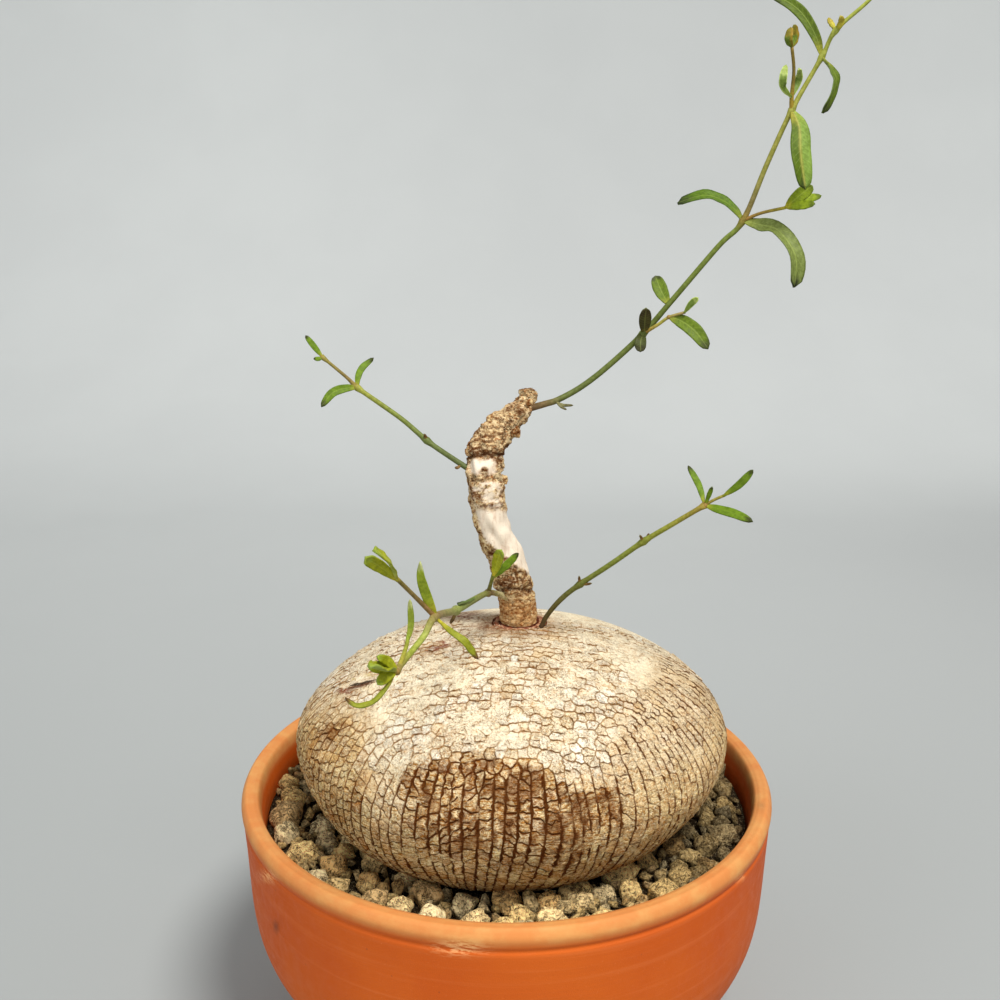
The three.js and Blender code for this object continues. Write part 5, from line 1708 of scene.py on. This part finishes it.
def add_joint(build, place, radius, ball, faces):
    points = ball * radius * (1, 1, 0.9) + place
    rough = 1 + 0.18 * fbm(points * 1.4, 83, 3)
    build.add(points, faces, linear(JOINT_COLOUR) * rough[:, None])


def leaf_colours(look, across, along, serial):
    """Colours of a leaf's upper side at places across (-1 to 1) and along it (0 to 1)."""
    start, body, tip, tip_from = LEAVES[look]
    own_tone = 0.92 + 0.16 * np.random.RandomState(100 + serial).rand()
    colour = ramp(start, body, smooth(0.05, 0.3, along)) * own_tone
    tip_line = along + 0.03 * np.sin(5 * across + serial)
    colour = coat(colour, tip, smooth(tip_from - 0.05, tip_from + 0.05, tip_line))
    margin = smooth(0.72, 1.0, np.abs(across))
    if look == "curl":
        return coat(colour, (196, 214, 130), 0.8 * margin)
    if look == "deep":
        colour = coat(colour, (132, 160, 70), 0.6 * smooth(0.1, -0.1, across))
        return coat(colour, (144, 128, 56), 0.6 * smooth(0.16, 0.05, np.abs(across)))
    if look == "bud":
        return coat(colour, (150, 118, 34), 0.6 * smooth(0.1, 0.6, across))
    return mix(colour, colour * 0.8, 0.5 * margin)


def add_leaf(
    build, serial, look, width, rib, face=(0, -1, 0.35), fold=0.3, wave=0.0, swell=0.62, blunt=0.42,
):
    """A leaf along its midrib, with its upper side to face.

    It's folded up and waved across, and swell and blunt set how slowly it widens and narrows."""
    narrow = width < 2.5
    per_span = max(4, 22 // (len(rib) - 1))
    place, along = curve_points(rib, per_span)
    rows = len(place)
    facing = unit(np.array(face, float))
    normal = unit(facing[None] - along * (along @ facing)[:, None])
    sideways = np.cross(along, normal)
    t = np.arange(rows) / (rows - 1)
    peak = swell / (swell + blunt)
    shape = t**swell * (1 - t) ** blunt / (peak**swell * (1 - peak) ** blunt)
    stalk = min(0.36, 0.22 * width) * (1 - smooth(0.9, 1.0, t) * 0.7)
    half = np.maximum(stalk, width / 2 * shape)[:, None]
    shape = shape[:, None]
    e, t = np.meshgrid(np.linspace(-1, 1, LEAF_COLUMNS), t)
    ripple = wave * shape * np.abs(e) * np.sin(9 * t + np.sign(e))
    ripple = ripple + 0.1 * shape * e * e * np.sin(23 * t + 2 * np.sign(e) + serial)
    rise = (0.12 if narrow else fold) * half * (0.5 * np.abs(e) + 0.5 * e * e) + ripple
    thick = 0.16 + 0.26 * (1 - e * e) * (0.5 + 0.5 * (1 - shape))
    middle = place[:, None] + sideways[:, None] * (e * half)[..., None] + normal[:, None] * rise[..., None]
    upper = middle + normal[:, None] * thick[..., None]
    lower = middle - normal[:, None] * thick[..., None]
    points = np.concatenate([upper.reshape(-1, 3), lower.reshape(-1, 3)])
    e, t = e.ravel(), t.ravel()
    colour = leaf_colours(look, e, t, serial)
    under = coat(colour, (150, 172, 104), 0.35)
    places = np.stack([e, t + serial * 0.37, np.full(len(e), 0.35 if narrow else 1.0)], 1)
    faces = sheet_faces(rows, LEAF_COLUMNS, flip=True)
    build.add(points, faces, np.concatenate([colour, under]), np.concatenate([places, places]))


def make_shoots():
    look = leaf_look()
    ball, faces = icosphere(3)
    serial = 0
    for name, shoot in SHOOTS.items():
        build = Build()
        add_stem(build, shoot["stem"], shoot["stem_colours"], shoot["joints"], sides=14)
        stations = list(shoot["stem"])
        for side_stations, stops in shoot["sides"]:
            add_stem(build, side_stations, stops)
            stations += side_stations
        stations = np.array(stations)
        for place in shoot["joints"]:
            nearest = stations[np.argmin(np.linalg.norm(stations[:, :3] - place, axis=1)), 3]
            add_joint(build, place, STEM_SLIMNESS * nearest + 0.26, ball, faces)
        for leaf in shoot["leaves"]:
            serial += 1
            add_leaf(build, serial, **leaf)
        build.piece(name + "_leafy", name, look)


# Stage, lights and camera, in metres
STAGE_HALF_WIDTH = 2.6
STAGE_FRONT = -1.6
STAGE_BEND = 0.55
STAGE_BEND_RADIUS = 0.5
STAGE_TOP = 2.6
# Lights: name, place, aim, width, power in watts and colour
LIGHTS = [
    ("key", (0.3, -0.42, 1.1), (0, 0, 0.09), 0.38, 16, (1.0, 0.97, 0.93)),
    ("fill", (-0.9, -0.7, 0.6), (0, 0, 0.1), 0.9, 4.4, (0.99, 0.99, 0.98)),
    ("low_front", (0.1, -0.95, 0.2), (0, 0, 0.08), 0.6, 2.4, (1.0, 0.97, 0.92)),
]
SKY_STRENGTH = 0.5
SENSOR_MM = 36
FAR_CLIP = 20


def make_stage():
    """A pale floor that rises behind the object in one sweep."""
    profile = [(STAGE_FRONT, 0.0), (STAGE_BEND, 0.0)]
    for a in np.linspace(0.05, math.pi / 2, 24):
        y = STAGE_BEND + STAGE_BEND_RADIUS * math.sin(a)
        profile.append((y, STAGE_BEND_RADIUS - STAGE_BEND_RADIUS * math.cos(a)))
    profile.append((STAGE_BEND + STAGE_BEND_RADIUS, STAGE_TOP))
    points = []
    for y, z in profile:
        points += [(-STAGE_HALF_WIDTH, y, z), (STAGE_HALF_WIDTH, y, z)]
    faces = [(2 * i, 2 * i + 1, 2 * i + 3, 2 * i + 2) for i in range(len(profile) - 1)]
    mesh = bpy.data.meshes.new("studio_floor")
    mesh.from_pydata(points, [], faces)
    mesh.polygons.foreach_set("use_smooth", [True] * len(mesh.polygons))
    mesh.materials.append(stage_look())
    obj = bpy.data.objects.new("studio_floor", mesh)
    bpy.context.scene.collection.objects.link(obj)


def area_light(name, place, aim, width, power, colour):
    data = bpy.data.lights.new(name, "AREA")
    data.shape = "DISK"
    data.size = width
    data.energy = power
    data.color = colour
    obj = bpy.data.objects.new(name, data)
    obj.location = place
    obj.rotation_euler = (Vector(aim) - Vector(place)).to_track_quat("-Z", "Y").to_euler()
    bpy.context.scene.collection.objects.link(obj)


def make_light_and_camera():
    scene = bpy.context.scene
    world = bpy.data.worlds.new("soft_light")
    world.use_nodes = True
    background = world.node_tree.nodes["Background"]
    background.inputs["Color"].default_value = (1.0, 1.0, 1.0, 1)
    background.inputs["Strength"].default_value = SKY_STRENGTH
    scene.world = world
    for light in LIGHTS:
        area_light(*light)
    camera_data = bpy.data.cameras.new("camera")
    camera_data.sensor_width = SENSOR_MM
    camera_data.lens = FOCAL * SENSOR_MM / PICTURE_SIDE
    camera_data.clip_end = FAR_CLIP
    camera = bpy.data.objects.new("camera", camera_data)
    camera.location = (EYE * MM).tolist()
    camera.rotation_euler = (math.pi / 2 - PITCH, 0, 0)
    scene.collection.objects.link(camera)
    scene.camera = camera
    scene.view_settings.view_transform = "Standard"


make_pot()
make_grit()
make_caudex()
make_trunk()
make_shoots()
make_stage()
make_light_and_camera()
